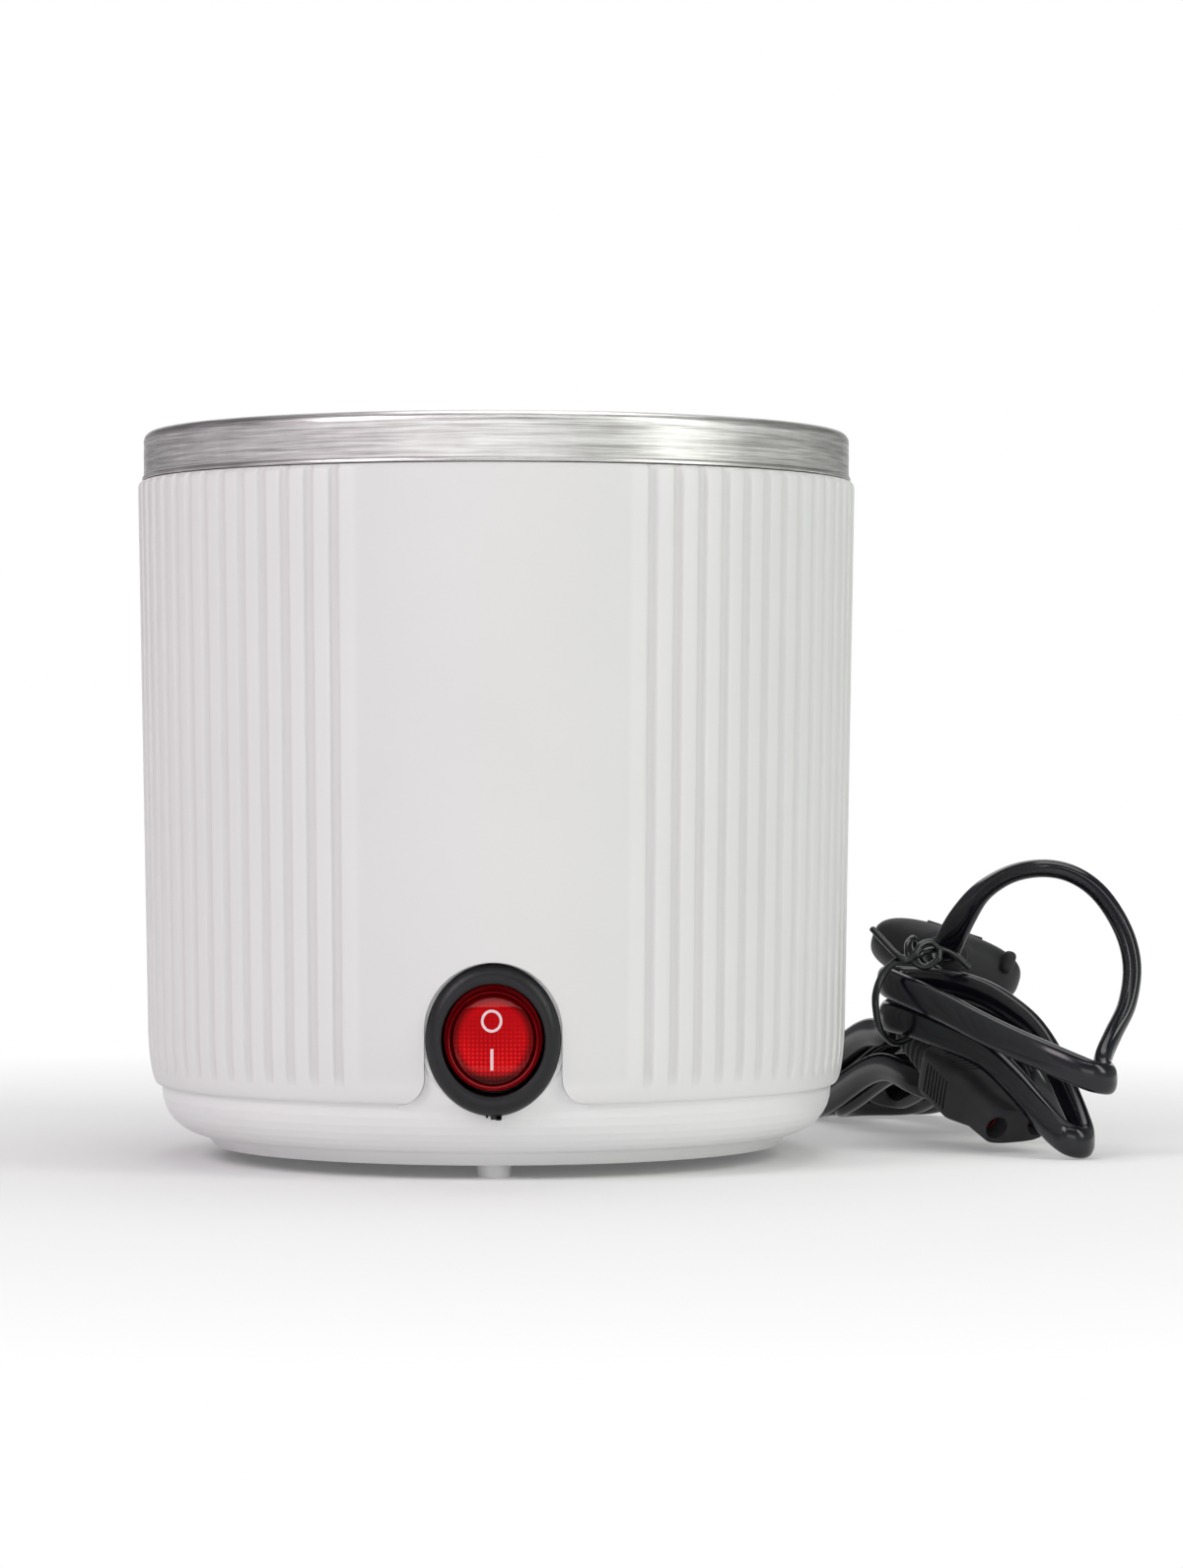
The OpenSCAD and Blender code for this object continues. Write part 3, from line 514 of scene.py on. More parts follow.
sleeve_with_painted_groove_shade = sleeve_white_painted_groove_shade()
white_base = plastic("base_white_pp", (0.845, 0.845, 0.845), 0.33, grain=0.03, spread=0.012, scale=1.2)
aluminium = brushed_aluminium()
charcoal = plastic("switch_charcoal_pa", (0.010, 0.010, 0.012), 0.38, grain=0.2, spread=0.12, scale=2.4,
                   specular=0.36)
lens_red_painted_shade = red_lens_painted_shade()
lens_rim = plastic("lens_rim_red", (0.24, 0.001, 0.004), 0.1, grain=0.006, spread=0.12, scale=2.0,
                   specular=0.4)
mark_white = plastic("mark_print", (0.82, 0.62, 0.64), 0.5)
cord_black = plastic("cord_black_pvc", (0.005, 0.005, 0.0085), 0.17, grain=0.0004, spread=0.15, scale=0.3)
black_matt = plastic("moulded_black_pvc", (0.026, 0.026, 0.029), 0.55, grain=0.06, spread=0.15, scale=3.5,
                     specular=0.3)
tie_black = plastic("tie_black_coat", (0.006, 0.008, 0.008), 0.16, grain=0.005, spread=0.1, scale=3.0)
contact_red = plastic("socket_red", (0.12, 0.004, 0.004), 0.35)
wire_brown = plastic("wire_brown", (0.16, 0.055, 0.02))
wire_blue = plastic("wire_blue", (0.02, 0.09, 0.36))
wire_black = plastic("wire_black", (0.02, 0.02, 0.02))
clear_sleeve = plastic("sleeve_clear_pvc", (0.72, 0.70, 0.58), 0.3)
wool = plastic("glass_wool", (0.78, 0.76, 0.62), 0.9, grain=0.6, spread=0.12, scale=0.9)
mica = plastic("mica_band", (0.46, 0.37, 0.25), 0.5, grain=0.1, spread=0.12, scale=0.6)
bakelite = plastic("thermostat_bakelite", (0.05, 0.035, 0.03), 0.45)
neon_glass = plastic("neon_glass", (0.75, 0.32, 0.12), 0.12)
ivory = plastic("plunger_ivory", (0.75, 0.72, 0.62))
steel = metal("zinc_steel", (0.55, 0.56, 0.57), 0.33)
nickel = metal("nickel", (0.66, 0.64, 0.60), 0.22)
brass = metal("brass", (0.70, 0.52, 0.24), 0.28)


# Camera, matched to the photo: it looks a little down and aside
def add_camera(down=0.358, aside=0.564):
    data = bpy.data.cameras.new("camera")
    data.lens = 108.75
    data.sensor_width = 36
    data.clip_start = 0.01
    camera = bpy.data.objects.new("camera", data)
    camera.location = (0.008736, -0.86296, 0.0728)
    camera.rotation_euler = (math.radians(90 - down), 0, math.radians(-aside))
    scene.collection.objects.link(camera)
    scene.camera = camera


add_camera()


# The lead: tail, hank and loop as one cord
def oblong(turns, half_w):
    """Place along and across an oblong with round ends, after a number of turns round it."""
    share = turns % 1
    side = 1 if share < 0.5 else -1
    share %= 0.5
    if share < RUN_SHARE:
        return side * HANK_RUN * (1 - 2 * share / RUN_SHARE), -side * half_w
    turn = math.radians(90 + 180 * (share - RUN_SHARE) / (0.5 - RUN_SHARE))
    return side * (half_w * math.cos(turn) - HANK_RUN), -side * half_w * math.sin(turn)


def hank_rise(along):
    """Height that the stiff cord keeps above the floor, from the hank's far end to its tied end."""
    return 9.5 * ease((along + 24) / 34) - 4.5 * ease((along - 10) / 22)


def hank_row(turns):
    """Place and wide side of the cord, which steps down half way from the upper layer to the lower."""
    half_w = HANK_R - HANK_STEP * min(turns - HANK_START, HANK_END - turns)
    along, across = oblong(turns, half_w)
    upper = 1 - ease((turns - (HANK_START + HANK_END) / 2) / LAYER_CHANGE + 0.5)
    z = CORD_W / 2 + CORD_OFF_FLOOR + HANK_LAYER * upper + hank_rise(along)
    x, y = HANK_CENTRE + along * HANK_WAY + across * Vector((-HANK_WAY.y, HANK_WAY.x))
    return [x, y, z, 0, 0, 1]


UPRIGHT = [0, 0, 1]
TAIL_ROUTE = [
    [78.5, 37, 21, 0.9, 0.44, 0.06], [77.3, 39.7, 22.2, 0.9, 0.4, 0.2], [75.9, 43.2, 22.3, 0.7, 0.2, 0.7],
    [74.4, 46.8, 20.6, 0.2, 0, 1], [73.4, 49.4, 19.3, 0, 0, 1], hank_row(HANK_START)]
LOOP_ROUTE = [hank_row(HANK_END)] + [row + UPRIGHT if len(row) == 3 else row for row in [
    [95.3, 70.9, 10.5], [97.4, 66, 12.2], [100.8, 60, 12.4], [105, 51, 9.6], [107.4, 42, 5.8],
    [107, 33, 4.4], [103, 27, 8], [97.6, 26.6, 15.2], [92, 29.4, 22.4], [85.6, 31.8, 26.6], [79.6, 31.8, 27],
    [75.4, 29.6, 24.8], [73.2, 26.4, 23.9], [73.6, 22.6, 23.6], [77, 18, 23], [83, 13, 20.8],
    [89.4, 6.4, 17.8], [94, -0.4, 13.4], [97.8, -6.8, 8.6], [100.6, -11, 5.2], [102.8, -13.4, 3.6],
    [105, -13, 3], [106.2, -10.2, 3.4], [105.6, -6.2, 6.2], [104, -1.6, 10.8], [101.8, 3, 16.6],
    [98.8, 7.8, 21.6], [95, 12, 25.2], [90.6, 16.4, 28], [85.4, 21, 29.6], [80.4, 24.8, 30],
    [76, 26.4, 30.2], [73, 24.6, 30.4], [72.8, 21.4, 30.2], [75, 17.2, 29.2], [78.4, 12.8, 27.8],
    [83, 7, 25.8], [88, 0.6, 23.2], [93.5, -5, 20.6], [99.2, -9.8, 18.2], [104, -12.8, 16.2],
    [107, -13.8, 15], [109.6, -12.4, 14.4], [110.4, -8.8, 14.4], [110, -4.6, 15.4, 0, -0.3, 1],
    [110.6, -0.8, 17.8, 0, -0.8, 0.6], [112.8, 2.6, 21.8, 0, -1, 0.3], [115.6, 5.4, 27, 0, -1, 0.1],
    [116.8, 8, 33.6, 0, -1, 0], [115.6, 10.4, 40, 0, -1, 0], [112, 13, 46.4, 0, -1, 0],
    [107.4, 15, 50.2, 0, -1, 0], [102, 17, 51.6, 0, -1, 0], [96, 20, 50.6, 0.1, -1, 0],
    [90.8, 23.6, 47.2, 0.3, -0.9, 0], [87.4, 26.6, 42.4, 0.6, -0.7, 0], [85.2, 29, 37.8, 0.9, -0.4, 0],
    [84.7, 31.6, 35.5, 1, 0, 0], [85, 36, 35, 1, 0.1, -0.1]]]
TIE_END_WAY, TIE_RING_WAY = [0, 1, 0.3], [0.72, -0.55, -0.42]
TIE_ROUTE = [row + TIE_END_WAY for row in [
    [87.9, 20, 32.9], [85.4, 19.6, 35.2], [83, 19, 36.4], [80.4, 18.2, 36.3]]]
TIE_ROUTE += [row + TIE_RING_WAY for row in [
    [77.8, 17.2, 35.4], [74.4, 16.2, 34.6], [71.6, 15, 32.2], [70.1, 13.6, 28.9], [70, 13.2, 25.6],
    [70.9, 14.2, 21.8], [73.4, 17.3, 19.2], [76.4, 21.7, 19.6], [79.1, 25.8, 21.2], [81.9, 30, 22.8],
    [83.7, 32.8, 23.6], [84.9, 34.6, 25.5], [85, 34.8, 28.5], [84.3, 33.6, 31], [82.4, 30.8, 33],
    [80.2, 27.5, 33.8], [78.4, 24.2, 36.2]]]
TIE_ROUTE += [row + TIE_END_WAY for row in [
    [77.6, 21, 38.4], [76.2, 18, 37.2], [76.6, 16.4, 34.8], [79.2, 15.9, 33.3], [81.6, 16.3, 34.6],
    [82.0, 17.2, 36.6], [80.4, 17.2, 37.9], [78.4, 16.2, 37.3], [77.2, 15.2, 35.6], [75.8, 14.9, 34.6],
    [74.1, 15.6, 35.6], [72.2, 18, 37.6], [69.9, 21, 40.2]]]

hank_rows = [hank_row(HANK_START + HANK_TURNS * i / HANK_STEPS) for i in range(HANK_STEPS + 1)]
cord_rows = smooth_rows(TAIL_ROUTE, 5)[:-1] + hank_rows[:-1] + smooth_rows(LOOP_ROUTE, 5)
lead_shape = sweep(cord_rows, super_oval(CORD_W / 2, CORD_T / 2, power=2.4, count=32))
lead = add_piece("lead_cord", lead_shape, cord_black, sharp=60)
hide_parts("cord_tail", "cord_hank", "cord_loop")

tie_shape = sweep(smooth_rows(TIE_ROUTE, 7), flat_round(width=1.4, thick=1.1, count=16))
tie = add_piece("tie_wire", tie_shape, tie_black, sharp=60)
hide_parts("wire_tie")


# Connector: rows of place along its axis, half width, half thickness and squareness
def connector_body():
    stops = [(0.0, 3.3, 2.4, 2.6)]
    ring = ((0.0, 0.9), (0.14, 0.15), (0.3, 0.0), (1.2, 0.0), (1.36, 0.15), (1.5, 0.9))
    for i in range(6):
        stops += relief_ring(1.6 + 2.3 * i, 4.3 + 0.24 * i, 3.15 + 0.2 * i, 3, ring)
    stops += [(15.3, 4.6, 3.8, 3.2), (15.5, 5.7, 4.3, 3.6), (16.6, 6.6, 4.6, 4.6), (18.0, 7.4, 4.8, 6),
              (19.2, 7.7, 4.85, 7), (28.9, 7.75, 4.85, 7), (29.7, 7.65, 4.8, 6.5), (34.6, 6.85, 3.75, 5),
              (35.0, 6.75, 3.6, 4.5), (CONNECTOR_L - 0.5, 6.65, 3.5, 3.6),
              (CONNECTOR_L - 0.12, 6.5, 3.35, 3.4), (CONNECTOR_L, 6.15, 3.0, 3.2)]
    return boxy_form(CONNECTOR, stops, 56)


def socket_bore(side):
    profile = [(1.62, CONNECTOR_L - SOCKET_DEEP), (1.62, CONNECTOR_L - 1.6), (2.1, CONNECTOR_L - 0.9),
               (2.2, CONNECTOR_L + 1)]
    return round_form(shifted(CONNECTOR, side * SOCKET_X, 0, 0), profile, 40)


def socket_contact(side):
    """A thin red sleeve inside the bore."""
    deep, mouth = CONNECTOR_L - SOCKET_DEEP + 0.1, CONNECTOR_L - 3.2
    profile = [(1.55, deep), (1.55, mouth), (1.1, mouth), (1.1, deep)]
    return round_form(shifted(CONNECTOR, side * SOCKET_X, 0, 0), profile, 24, closed=True)


def connector_grips():
    """Slots across the wide faces and across the narrow flanks."""
    face_slot, flank_slot = (3.0, 0.62, 0.27), (0.7, 2.9, 0.3)
    slots = []
    for side in (1, -1):
        for i in range(7):
            slots.append(block(shifted(CONNECTOR, -1.9, side * 4.9, 21.4 + 1.12 * i), face_slot))
            slots.append(block(shifted(CONNECTOR, side * 7.75, 0, 21.0 + 1.25 * i), flank_slot))
    return merged(slots)


def connector_dimple():
    place = turned(shifted(CONNECTOR, 0.6, 4.5, 31.2), -90 + 8, "X")
    return round_form(place, [(0.55, -0.5), (0.55, 0.9)], 24)


connector = add_piece("connector_body", connector_body(), black_matt, sharp=40)
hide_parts("appliance_connector")
for side in (-1, 1):
    cut(connector, socket_bore(side))
cut(connector, connector_grips())
cut(connector, connector_dimple())
smooth(connector, sharp=40)
for side in (-1, 1):
    add_piece("connector_contact_%d" % (side + 2), socket_contact(side), contact_red,
              sharp=40)


# Plug: a ringed relief, a waist, grip bars on both faces, a small stud and two pins
def plug_body():
    stops = [(0.0, 3.6, 2.6, 2.4), (0.25, 4.0, 3.0, 2.4), (1.0, 4.2, 3.15, 2.4)]
    ring = ((0.0, 0.5), (0.25, 0.0), (0.95, 0.0), (1.2, 0.45))
    for i in range(3):
        stops += relief_ring(1.5 + 1.9 * i, 4.6 + 0.5 * i, 3.5 + 0.35 * i, 2.4, ring)
    stops += [(7.4, 6.4, 4.4, 2.3), (8.6, 8.4, 4.7, 2.3), (10.2, 11.0, 5.1, 2.4), (12, 13.0, 5.4, 2.5),
              (14, 14.2, 5.6, 2.6), (17, 14.8, 5.75, 2.7), (PLUG_L - 3, 14.9, 5.9, 2.8),
              (PLUG_L - 0.9, 14.8, 5.8, 2.8), (PLUG_L - 0.2, 14.5, 5.5, 2.7), (PLUG_L, 14.0, 5.1, 2.6)]
    return boxy_form(PLUG, stops, 64)


def plug_grips():
    bars = []
    for side in (-1, 1):
        for i in range(5):
            place = shifted(PLUG, 0, side * (5.48 + 0.03 * i), 15.4 + 1.9 * i)
            bars.append(block(place, (5.6 - 0.3 * i, 0.4, 0.42), bevel=0.28))
    stud = block(turned(shifted(PLUG, 11.6, -2.6, 10.6), -12, "Y"), (1.2, 2.2, 1.5), bevel=1.05, segments=4)
    return merged(bars + [stud])


def add_plug_pin(side):
    """A metal pin and the black collar at its foot."""
    place = shifted(PLUG, side * PIN_X, 0, PLUG_L)
    profile = [(1.9, -0.6), (1.9, 9.8), (1.98, 9.9), (2.0, 10.2), (2.0, 17.2), (1.85, 18.1), (1.4, 18.8),
               (0.6, 19.0)]
    add_piece("plug_pin_%d" % (side + 2), round_form(place, profile, 32), nickel, sharp=40)
    profile = [(1.8, 0), (2.0, 0.05), (2.0, 9.7), (1.96, 9.8), (1.8, 9.8)]
    return add_piece("plug_pin_collar_%d" % (side + 2), round_form(place, profile, 32), black_matt,
                     sharp=40)


plug = add_piece("plug_body", plug_body(), black_matt, sharp=40)
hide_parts("mains_plug")
add_piece("plug_grips", plug_grips(), black_matt, sharp=50)
collar = add_plug_pin(-1)
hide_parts("plug_pins")
add_plug_pin(1)


# Pot: one turned skin from the band's lip over the mouth to the floor, and back outside
def pot_profile():
    rim = (RIM_R - RIM_ROUND, RIM_TOP - RIM_ROUND)
    mouth = (POT_R + MOUTH_ROUND, RIM_TOP - MOUTH_ROUND)
    bottom = (WELL_R - FLOOR_ROUND, FLOOR + FLOOR_ROUND)
    lip = [(RIM_R - POT_WALL, SLEEVE_TOP + 0.1), (RIM_R + 0.15, SLEEVE_TOP + 0.1),
           (RIM_R + 0.29, SLEEVE_TOP + 0.2), (RIM_R + 0.29, SLEEVE_TOP + 0.5),
           (RIM_R + 0.2, SLEEVE_TOP + 0.66), (RIM_R - BAND_IN, SLEEVE_TOP + 0.95)]
    band_heights = [BAND_LOW + BAND_STEP * i for i in range(BAND_ROWS)]
    band = [(RIM_R - BAND_IN + WAVE * math.sin(z * WAVE_RATE), z) for z in band_heights]
    well = [(POT_R - 0.6, 118), (POT_R - 1.2, 104), (WELL_R, FLOOR + 36), (WELL_R, FLOOR + 20),
            (WELL_R, FLOOR + FLOOR_ROUND)]
    floor = [(38, FLOOR), (37.4, FLOOR + 0.12), (36, FLOOR + 0.14), (35.4, FLOOR), (12, FLOOR),
             (11.6, FLOOR + 0.1), (0.05, FLOOR + 0.1), (0.05, FLOOR - POT_WALL)]
    face = (lip + band + arc(rim, RIM_ROUND, 0, 90, 14) + arc(mouth, MOUTH_ROUND, 90, 180, 14) + well
            + arc(bottom, FLOOR_ROUND, 0, -90, 14) + floor)
    back = (arc(bottom, FLOOR_ROUND + POT_WALL, -90, 0, 10) + [(WELL_R + POT_WALL, FLOOR + 36)]
            + arc(mouth, MOUTH_ROUND - POT_WALL, 180, 90, 6) + arc(rim, RIM_ROUND - POT_WALL, 90, 0, 4))
    return face + back


pot_shape = round_form(Matrix.Identity(4), pot_profile(), 288, closed=True)
pot = add_piece("pot_skin", pot_shape, aluminium, sharp=35)
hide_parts("heating_pot")


# Sleeve: rounded ribs, a smooth panel with a strip at each side, and two arched notches
def groove_form():
    """Rows of share of the pitch and share of the depth, alike on both sides of the groove."""
    half = [(0.14, 0), (0.26, 0.02), (0.295, 0.12), (0.33, 0.45), (0.365, 0.82), (0.41, 0.97)]
    return [(0.0, 0)] + half + [(0.5, 1.0)] + [(1 - share, depth) for share, depth in reversed(half)]


def sleeve_at(z):
    """Radius of the ribs' crests at a height."""
    if z > BEND:
        return LOW_R + TAPER * (z - BEND) / (ROUND_Z - BEND)
    below = (BEND - z) / (BEND - BOTTOM)
    return LOW_R - BOTTOM_IN + BOTTOM_IN * math.sqrt(max(0, 1 - below ** 2))


def sleeve_columns():
    """Angle, share of a groove's depth and share of the panel's recess, once round the sleeve."""
    columns = []
    for i in range(GROOVES):
        for share, depth in groove_form():
            columns.append((-90 + PANEL / 2 + (i + share) * PITCH, depth, 0))
    for i in range(PANEL_STEPS + 1):
        angle = i / PANEL_STEPS * PANEL
        strips = sum(math.exp(-((angle - middle) / STRIP_W) ** 4) for middle in (STRIP_AT, PANEL - STRIP_AT))
        columns.append((-90 - PANEL / 2 + angle, 0, 1 - strips))
    return columns


def sleeve_shape():
    """Rings from the bottom edge up the outside, over the rounded top and down the inside."""
    columns = sleeve_columns()
    turns = [math.radians(90 * i / CURVE_STEPS) for i in range(CURVE_STEPS + 1)]
    curved = [BOTTOM + (BEND - BOTTOM) * (1 - math.cos(turn)) for turn in turns]
    straight = [BEND + (ROUND_Z - BEND) * i / TAPER_STEPS for i in range(1, TAPER_STEPS + 1)]
    rings = []
    for z in curved + straight:
        fade = ease((z - BOTTOM - GROOVE_END) / FADE_H)
        rings.append([(sleeve_at(z) - DEPTH * groove * fade - PANEL_IN * recess * fade, z)
                      for _, groove, recess in columns])
    for turn in [math.radians(angle) for angle in (30, 60, 90)]:
        z = ROUND_Z + TOP_ROUND * math.sin(turn)
        rings.append([(SLEEVE_R - TOP_ROUND + (TOP_ROUND - DEPTH * groove) * math.cos(turn), z)
                      for _, groove, _ in columns])
    inside = [(SLEEVE_R - WALL - 0.5, SLEEVE_TOP), (sleeve_at(SLEEVE_TOP - 3) - WALL, SLEEVE_TOP - 3)]
    inside += [(sleeve_at(z) - WALL, z) for z in reversed(curved[::4])]
    rings += [[row] * len(columns) for row in inside]
    sides = [(math.cos(math.radians(angle)), math.sin(math.radians(angle))) for angle, _, _ in columns]
    return loft([[Vector((r * c, r * s, z)) * MM for (r, z), (c, s) in zip(ring, sides)] for ring in rings],
                closed=True)


def notch(way):
    """An arch over the switch, or over the inlet behind, that flares round its feet."""
    half_w = NOTCH_R - NOTCH_IN
    side, low = half_w + NOTCH_ROUND, BOTTOM - 3
    right = arc((side, BOTTOM + NOTCH_ROUND - NOTCH_IN), NOTCH_ROUND, 270, 180, 10)
    top = arc((0, SWITCH_Z + BEZEL_H / 2 + NOTCH_OVER - NOTCH_R), half_w, 0, 180, 40)
    left = [(-x, z) for x, z in reversed(right)]
    outline = [(side, low)] + right + top + left + [(-side, low)]
    return loft([[Vector((x, way * y, z)) * MM for x, z in outline] for y in (40, 70)])


sleeve = add_piece("sleeve_skin", sleeve_shape(), sleeve_with_painted_groove_shade, sharp=50)
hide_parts("ribbed_sleeve")
for way in (-1, 1):
    cut(sleeve, notch(way))
smooth(sleeve, sharp=35)


# Switch: oval forms along Y, from rows of place, width, height and rise
def oval_form(place, rows):
    rings = []
    for y, width, height, rise in rows:
        outline = ellipse(width / 2, height / 2, 96)
        rings.append([(place @ Vector((x, y, z + rise))) * MM for x, z in outline])
    return loft(rings)


def bezel_shape():
    """Barrel, flange with a rounded front, and the opening for the rocker."""
    flange = [(0.0, 0.0), (-0.35, 0.0), (-0.75, -0.18), (-1.2, -0.62), (-1.65, -1.3), (-2.05, -2.3),
              (-2.3, -3.3), (-2.4, -4.2)]
    rows = [(20.5, 19.4, 19.4), (0.3, 20, 20), (0.0, 20, 20)]
    rows += [(y, BEZEL_W + wider, BEZEL_H + wider) for y, wider in flange]
    rows += [(-2.38, OPENING_W + 0.55, OPENING_H + 0.55), (-2.18, OPENING_W + 0.1, OPENING_H + 0.1),
             (-1.8, OPENING_W, OPENING_H), (7.5, OPENING_W, OPENING_H), (7.6, OPENING_W, OPENING_W),
             (18.4, OPENING_W, OPENING_W)]
    return oval_form(BEZEL, [(PANEL_Y + y, width, height, 0) for y, width, height in rows])


def burr_shape():
    """Small lumps left by the mould under the bezel."""
    lumps = []
    for x, half_w, high in ((-1.05, 0.24, 0.22), (0.5, 0.95, 0.5), (0.9, 0.5, 0.62)):
        place = Matrix.Translation((x, PANEL_Y - 0.42, SWITCH_Z - BEZEL_H / 2 - high * 0.35))
        lumps.append(block(place, (half_w, 0.4, high * 0.75), bevel=0.12))
    return merged(lumps)


def rocker_shape():
    """The rocker's body, with a raised frame round the window that sits a little lower."""
    body = [(5.2, 16.2, 16.0), (2.2, 16.8, 17.6), (0.5, 16.8, 18.2), (0.12, 16.6, 18.0), (0.0, 16.2, 17.6)]
    lens = [(-0.5, 15.5, 16.6), (-0.62, 15.35, 16.45), (-0.7, 15.0, 16.1), (-0.62, 14.75, 15.9),
            (-0.3, 14.6, 15.7), (1.2, 13.4, 14.4)]
    rows = [(LENS_Y + y, width, height, 0) for y, width, height in body]
    rows.append((LENS_Y - 0.05, 15.9, 17.0, 0.6 * LENS_RISE))
    rows += [(LENS_Y + y, width, height, LENS_RISE) for y, width, height in lens]
    return oval_form(ROCKER, rows)


def window_y(x, z):
    """The window's front: a flat middle, a facet above and below, and a rounded edge."""
    over = max(0, abs(z) - FACET)
    edge = max(0, (2 * x / WIN_W) ** 2 + (2 * z / WIN_H) ** 2 - ROUND_FROM)
    return LENS_Y - WIN_OUT + FACET_SLOPE * over + BULGE * x * x + ROUND_DROP * edge ** 2


def on_rocker(x, y, z):
    return (ROCKER @ Vector((x, y, z + LENS_RISE))) * MM


def window_shape(rows=26):
    outline = ellipse(WIN_W / 2, WIN_H / 2, 96)
    rings = []
    for i in range(rows):
        share = (i + 0.02) / (rows - 0.98)
        ring = [(share * x, share * z) for x, z in outline]
        rings.append([on_rocker(x, window_y(x, z), z) for x, z in ring])
    rings.append([on_rocker(x, LENS_Y + 0.9, z) for x, z in outline])
    return loft(rings)


def add_mark(name, outer, inner, middle):
    """A printed sign on the window, from two outlines about its middle."""
    rings = []
    for outline, lift in ((outer, MARK_SUNK), (outer, -MARK_PROUD), (inner, -MARK_PROUD), (inner, MARK_SUNK)):
        ring = [(x + middle[0], z + middle[1]) for x, z in outline]
        rings.append([on_rocker(x, window_y(x, z) + lift, z) for x, z in ring])
    add_piece(name, loft(rings, closed=True), mark_white, sharp=40, body="rocker")


bezel = add_piece("switch_bezel", bezel_shape(), charcoal, sharp=45)
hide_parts("switch_housing")
add_piece("bezel_burr", burr_shape(), charcoal, sharp=50)
rocker = add_piece("rocker_body", rocker_shape(), lens_rim, sharp=45, body="rocker")
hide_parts("switch_rocker")
add_piece("rocker_window", window_shape(), lens_red_painted_shade, sharp=30, body="rocker")
add_mark("mark_off", super_oval(1.8, 1.94, 2.0, 56), super_oval(1.36, 1.48, 2.0, 56), (-0.25, 3.05))
add_mark("mark_on", super_oval(0.25, 1.82, 14, 56), super_oval(0.01, 1.5, 8, 56), (-0.2, -3.5))

# Looks of the nodes that are shown as the CAD made them
node_looks = (
    (white_base, ("base_bowl",)),
    (steel, ("pot_studs", "stud_spacers", "carrier_plate", "stud_nuts", "base_screws", "clinch_nuts",
             "band_clamp_screw", "thermostat_strap", "strap_nuts", "plunger_spring")),
    (brass, ("thermal_fuse", "contact_blade", "switch_terminals")),
    (nickel, ("inlet_pins",)),
    (mica, ("band_heater",)),
    (wool, ("insulation_blanket", "fuse_sleeve")),
    (bakelite, ("thermostat",)),
    (ivory, ("contact_plunger",)),
    (neon_glass, ("neon_lamp",)),
    (black_matt, ("figure8_inlet",)),
    (clear_sleeve, ("terminal_sleeves",)),
    (wire_brown, ("live_wire", "fuse_wire", "heater_wire")),
    (wire_blue, ("lamp_wire", "neutral_wire")),
    (wire_black, ("switched_wire",)))
for material, names in node_looks:
    for name in names:
        ob = nodes[name]
        if not ob.data.materials:
            ob.data.materials.append(material)
        for slot in ob.material_slots:
            slot.link = "OBJECT"
            slot.material = material


# Floor and backdrop
def stage_white():
    """White that glows a little to the camera and in reflections, more so far from the heater."""
    n = new_material("stage_white")
    n.surface(Base_Color=(0.90, 0.90, 0.90, 1), Roughness=0.9)
    rays = n.new("LightPath").outputs
    seen = n.math("MAXIMUM", rays["Is Camera Ray"], rays["Is Glossy Ray"])
    seen = n.math("MAXIMUM", seen, rays["Is Transmission Ray"])
    share = n.math("MULTIPLY", n.remap(n.length(n.place()), 0.1, 1.0, 0.06, 0.3), seen)
    glow = n.new("Emission")
    n.feed(glow, Color=(*WHITE, 1))
    plain = n.tree.nodes["Principled BSDF"].outputs[0]
    both = n.fill_all(n.new("MixShader"), (share, plain, glow.outputs[0]))
    n.feed(n.tree.nodes["Material Output"], Surface=both)
    return n.owner


def floor_shape():
    radii = (0.001, 0.2, 0.6, 1.5, 4.0)
    return loft([[Vector((x, y, 0)) for x, y in ellipse(r, r, 64)] for r in radii], cap_end=False)


def backdrop_shape(columns=17):
    """A sheet that curves up from the floor behind the heater."""
    rows = ((2.9, 0.001), (3.3, 0.3), (3.4, 1.0), (3.4, 3.2))
    left, step = -1.2, 0.15
    corners = [(left + step * i, y, z) for y, z in rows for i in range(columns)]
    starts = [row * columns + i for row in range(len(rows) - 1) for i in range(columns - 1)]
    return corners, [(a, a + 1, a + columns + 1, a + columns) for a in starts]


stage_look = stage_white()
for name, shape in (("floor", floor_shape()), ("backdrop", backdrop_shape())):
    ob = new_object(name, shape)
    ob.data.materials.append(stage_look)


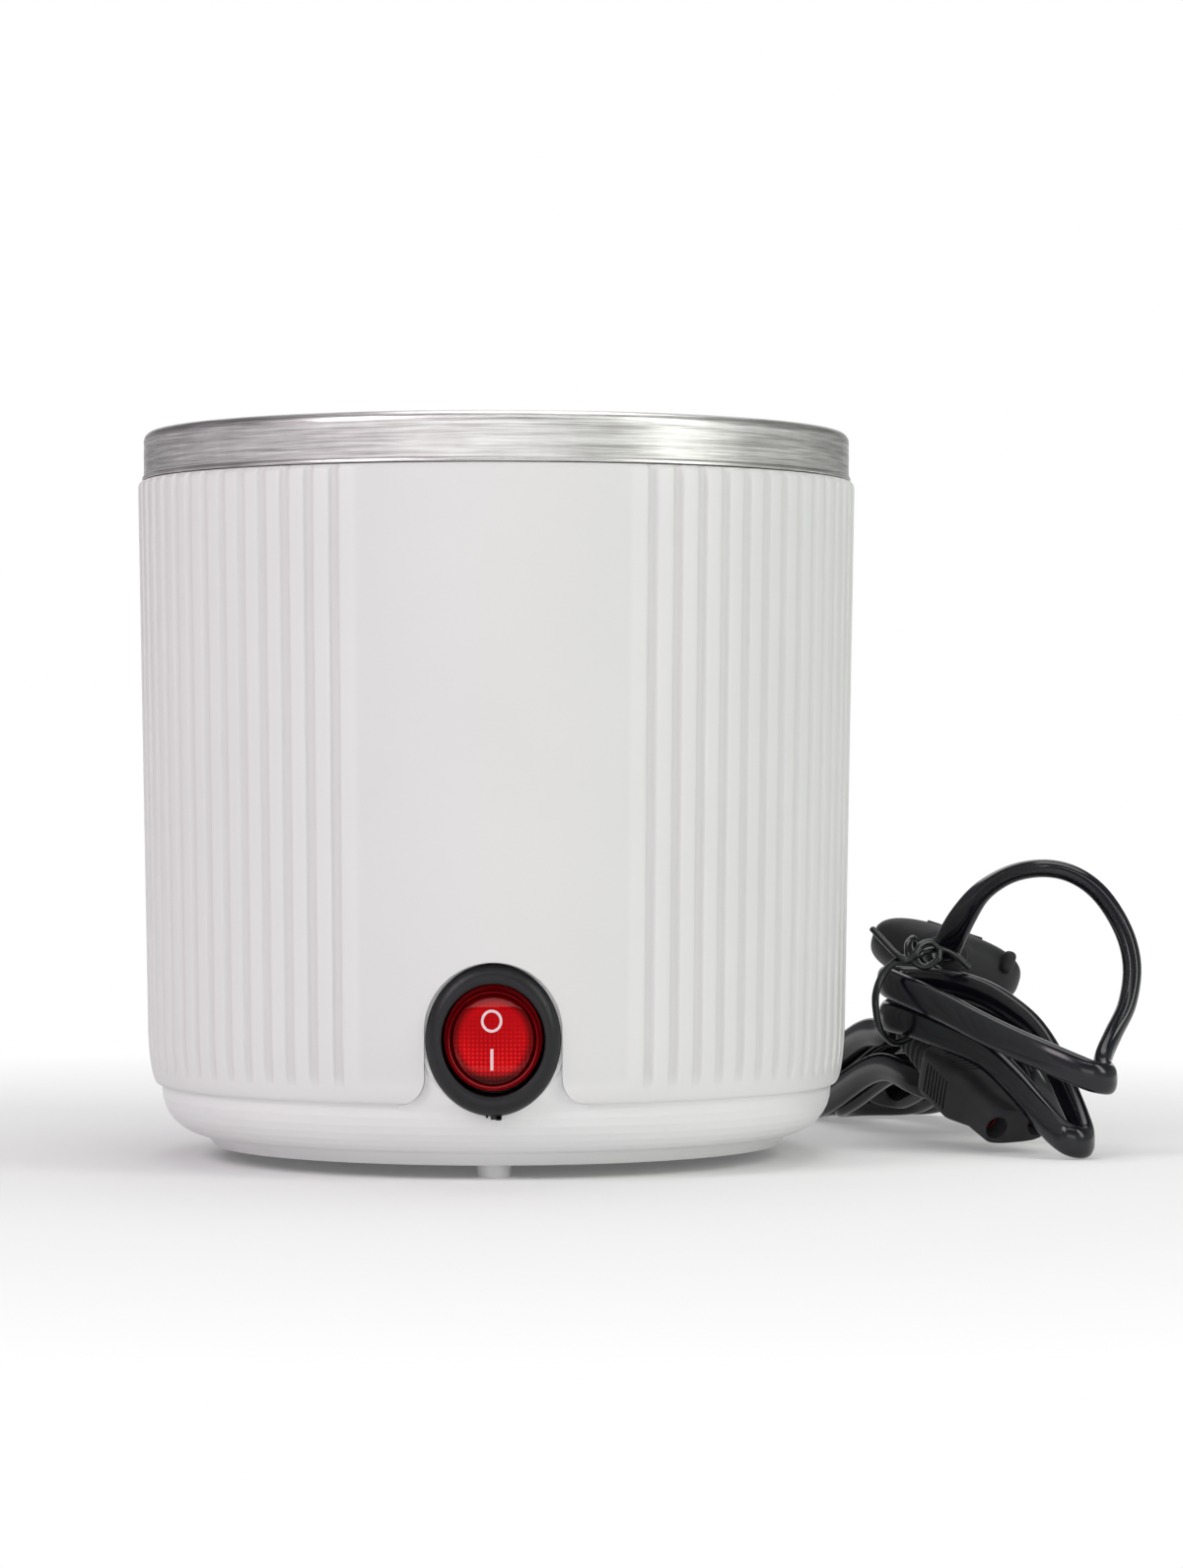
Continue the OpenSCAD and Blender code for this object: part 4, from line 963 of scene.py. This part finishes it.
# Room: bright in front at eye level, dimmer above and behind, with a tint at each side
def grey(*stops):
    """Stops of one brightness each, as colours."""
    return [(place, (value, value, value)) for place, value in stops]


def light_room():
    world = bpy.data.worlds.new("studio")
    scene.world = world
    n = Nodes(world)
    across, ahead, up = n.parts(n.place("Generated"))
    depth = n.ramp(n.remap(ahead, 0.0, 1.0, -1.0, 1.0),
                   *grey((0.0, 0.72), (0.12, 0.63), (0.4, 0.5), (0.65, 0.47), (0.8, 0.39), (1.0, 0.25)))
    height = n.ramp(up, *grey((0.0, 1.0), (0.2, 0.9), (0.45, 0.5), (1.0, 0.42)))
    left, middle, right = (0.81, 0.75, 0.81), (0.78, 0.79, 0.8), (0.96, 1.0, 0.94)
    tint = n.ramp(n.remap(across, 0.0, 1.0, -1.0, 1.0), (0.0, left), (0.5, middle), (1.0, right))
    room = n.mix(n.mix(depth, height), tint)
    in_view = n.new("LightPath").outputs["Is Camera Ray"]
    n.feed(n.tree.nodes["Background"], Color=n.mix(room, (*WHITE, 1), in_view, "MIX"))


def softbox(name, place, aim, size, watts, colour=WHITE):
    data = bpy.data.lights.new(name, "AREA")
    data.shape = "RECTANGLE"
    data.size, data.size_y = size
    data.energy = watts
    data.color = colour
    ob = bpy.data.objects.new(name, data)
    scene.collection.objects.link(ob)
    ob.location = place
    ob.rotation_euler = (Vector(aim) - Vector(place)).to_track_quat("-Z", "Y").to_euler()


light_room()
softbox("key", (-0.85, -0.75, 0.85), (0, 0, 0.06), (0.5, 0.7), 6.2, (1.0, 0.92, 0.97))
softbox("fill", (0.95, -0.55, 0.6), (0.02, 0, 0.06), (0.35, 0.8), 3.8, (0.97, 1.0, 0.94))
softbox("top", (0.1, 0.2, 1.15), (0, 0, 0.1), (0.8, 0.8), 4.5)
softbox("front_strip", (0.1, -0.78, 0.92), (0, -0.06, 0.03), (0.9, 0.16), 1.4)
softbox("low_front", (-0.1, -1.3, 0.16), (0, 0, 0.02), (1.2, 0.2), 1.3)
scene.view_settings.view_transform = "Standard"
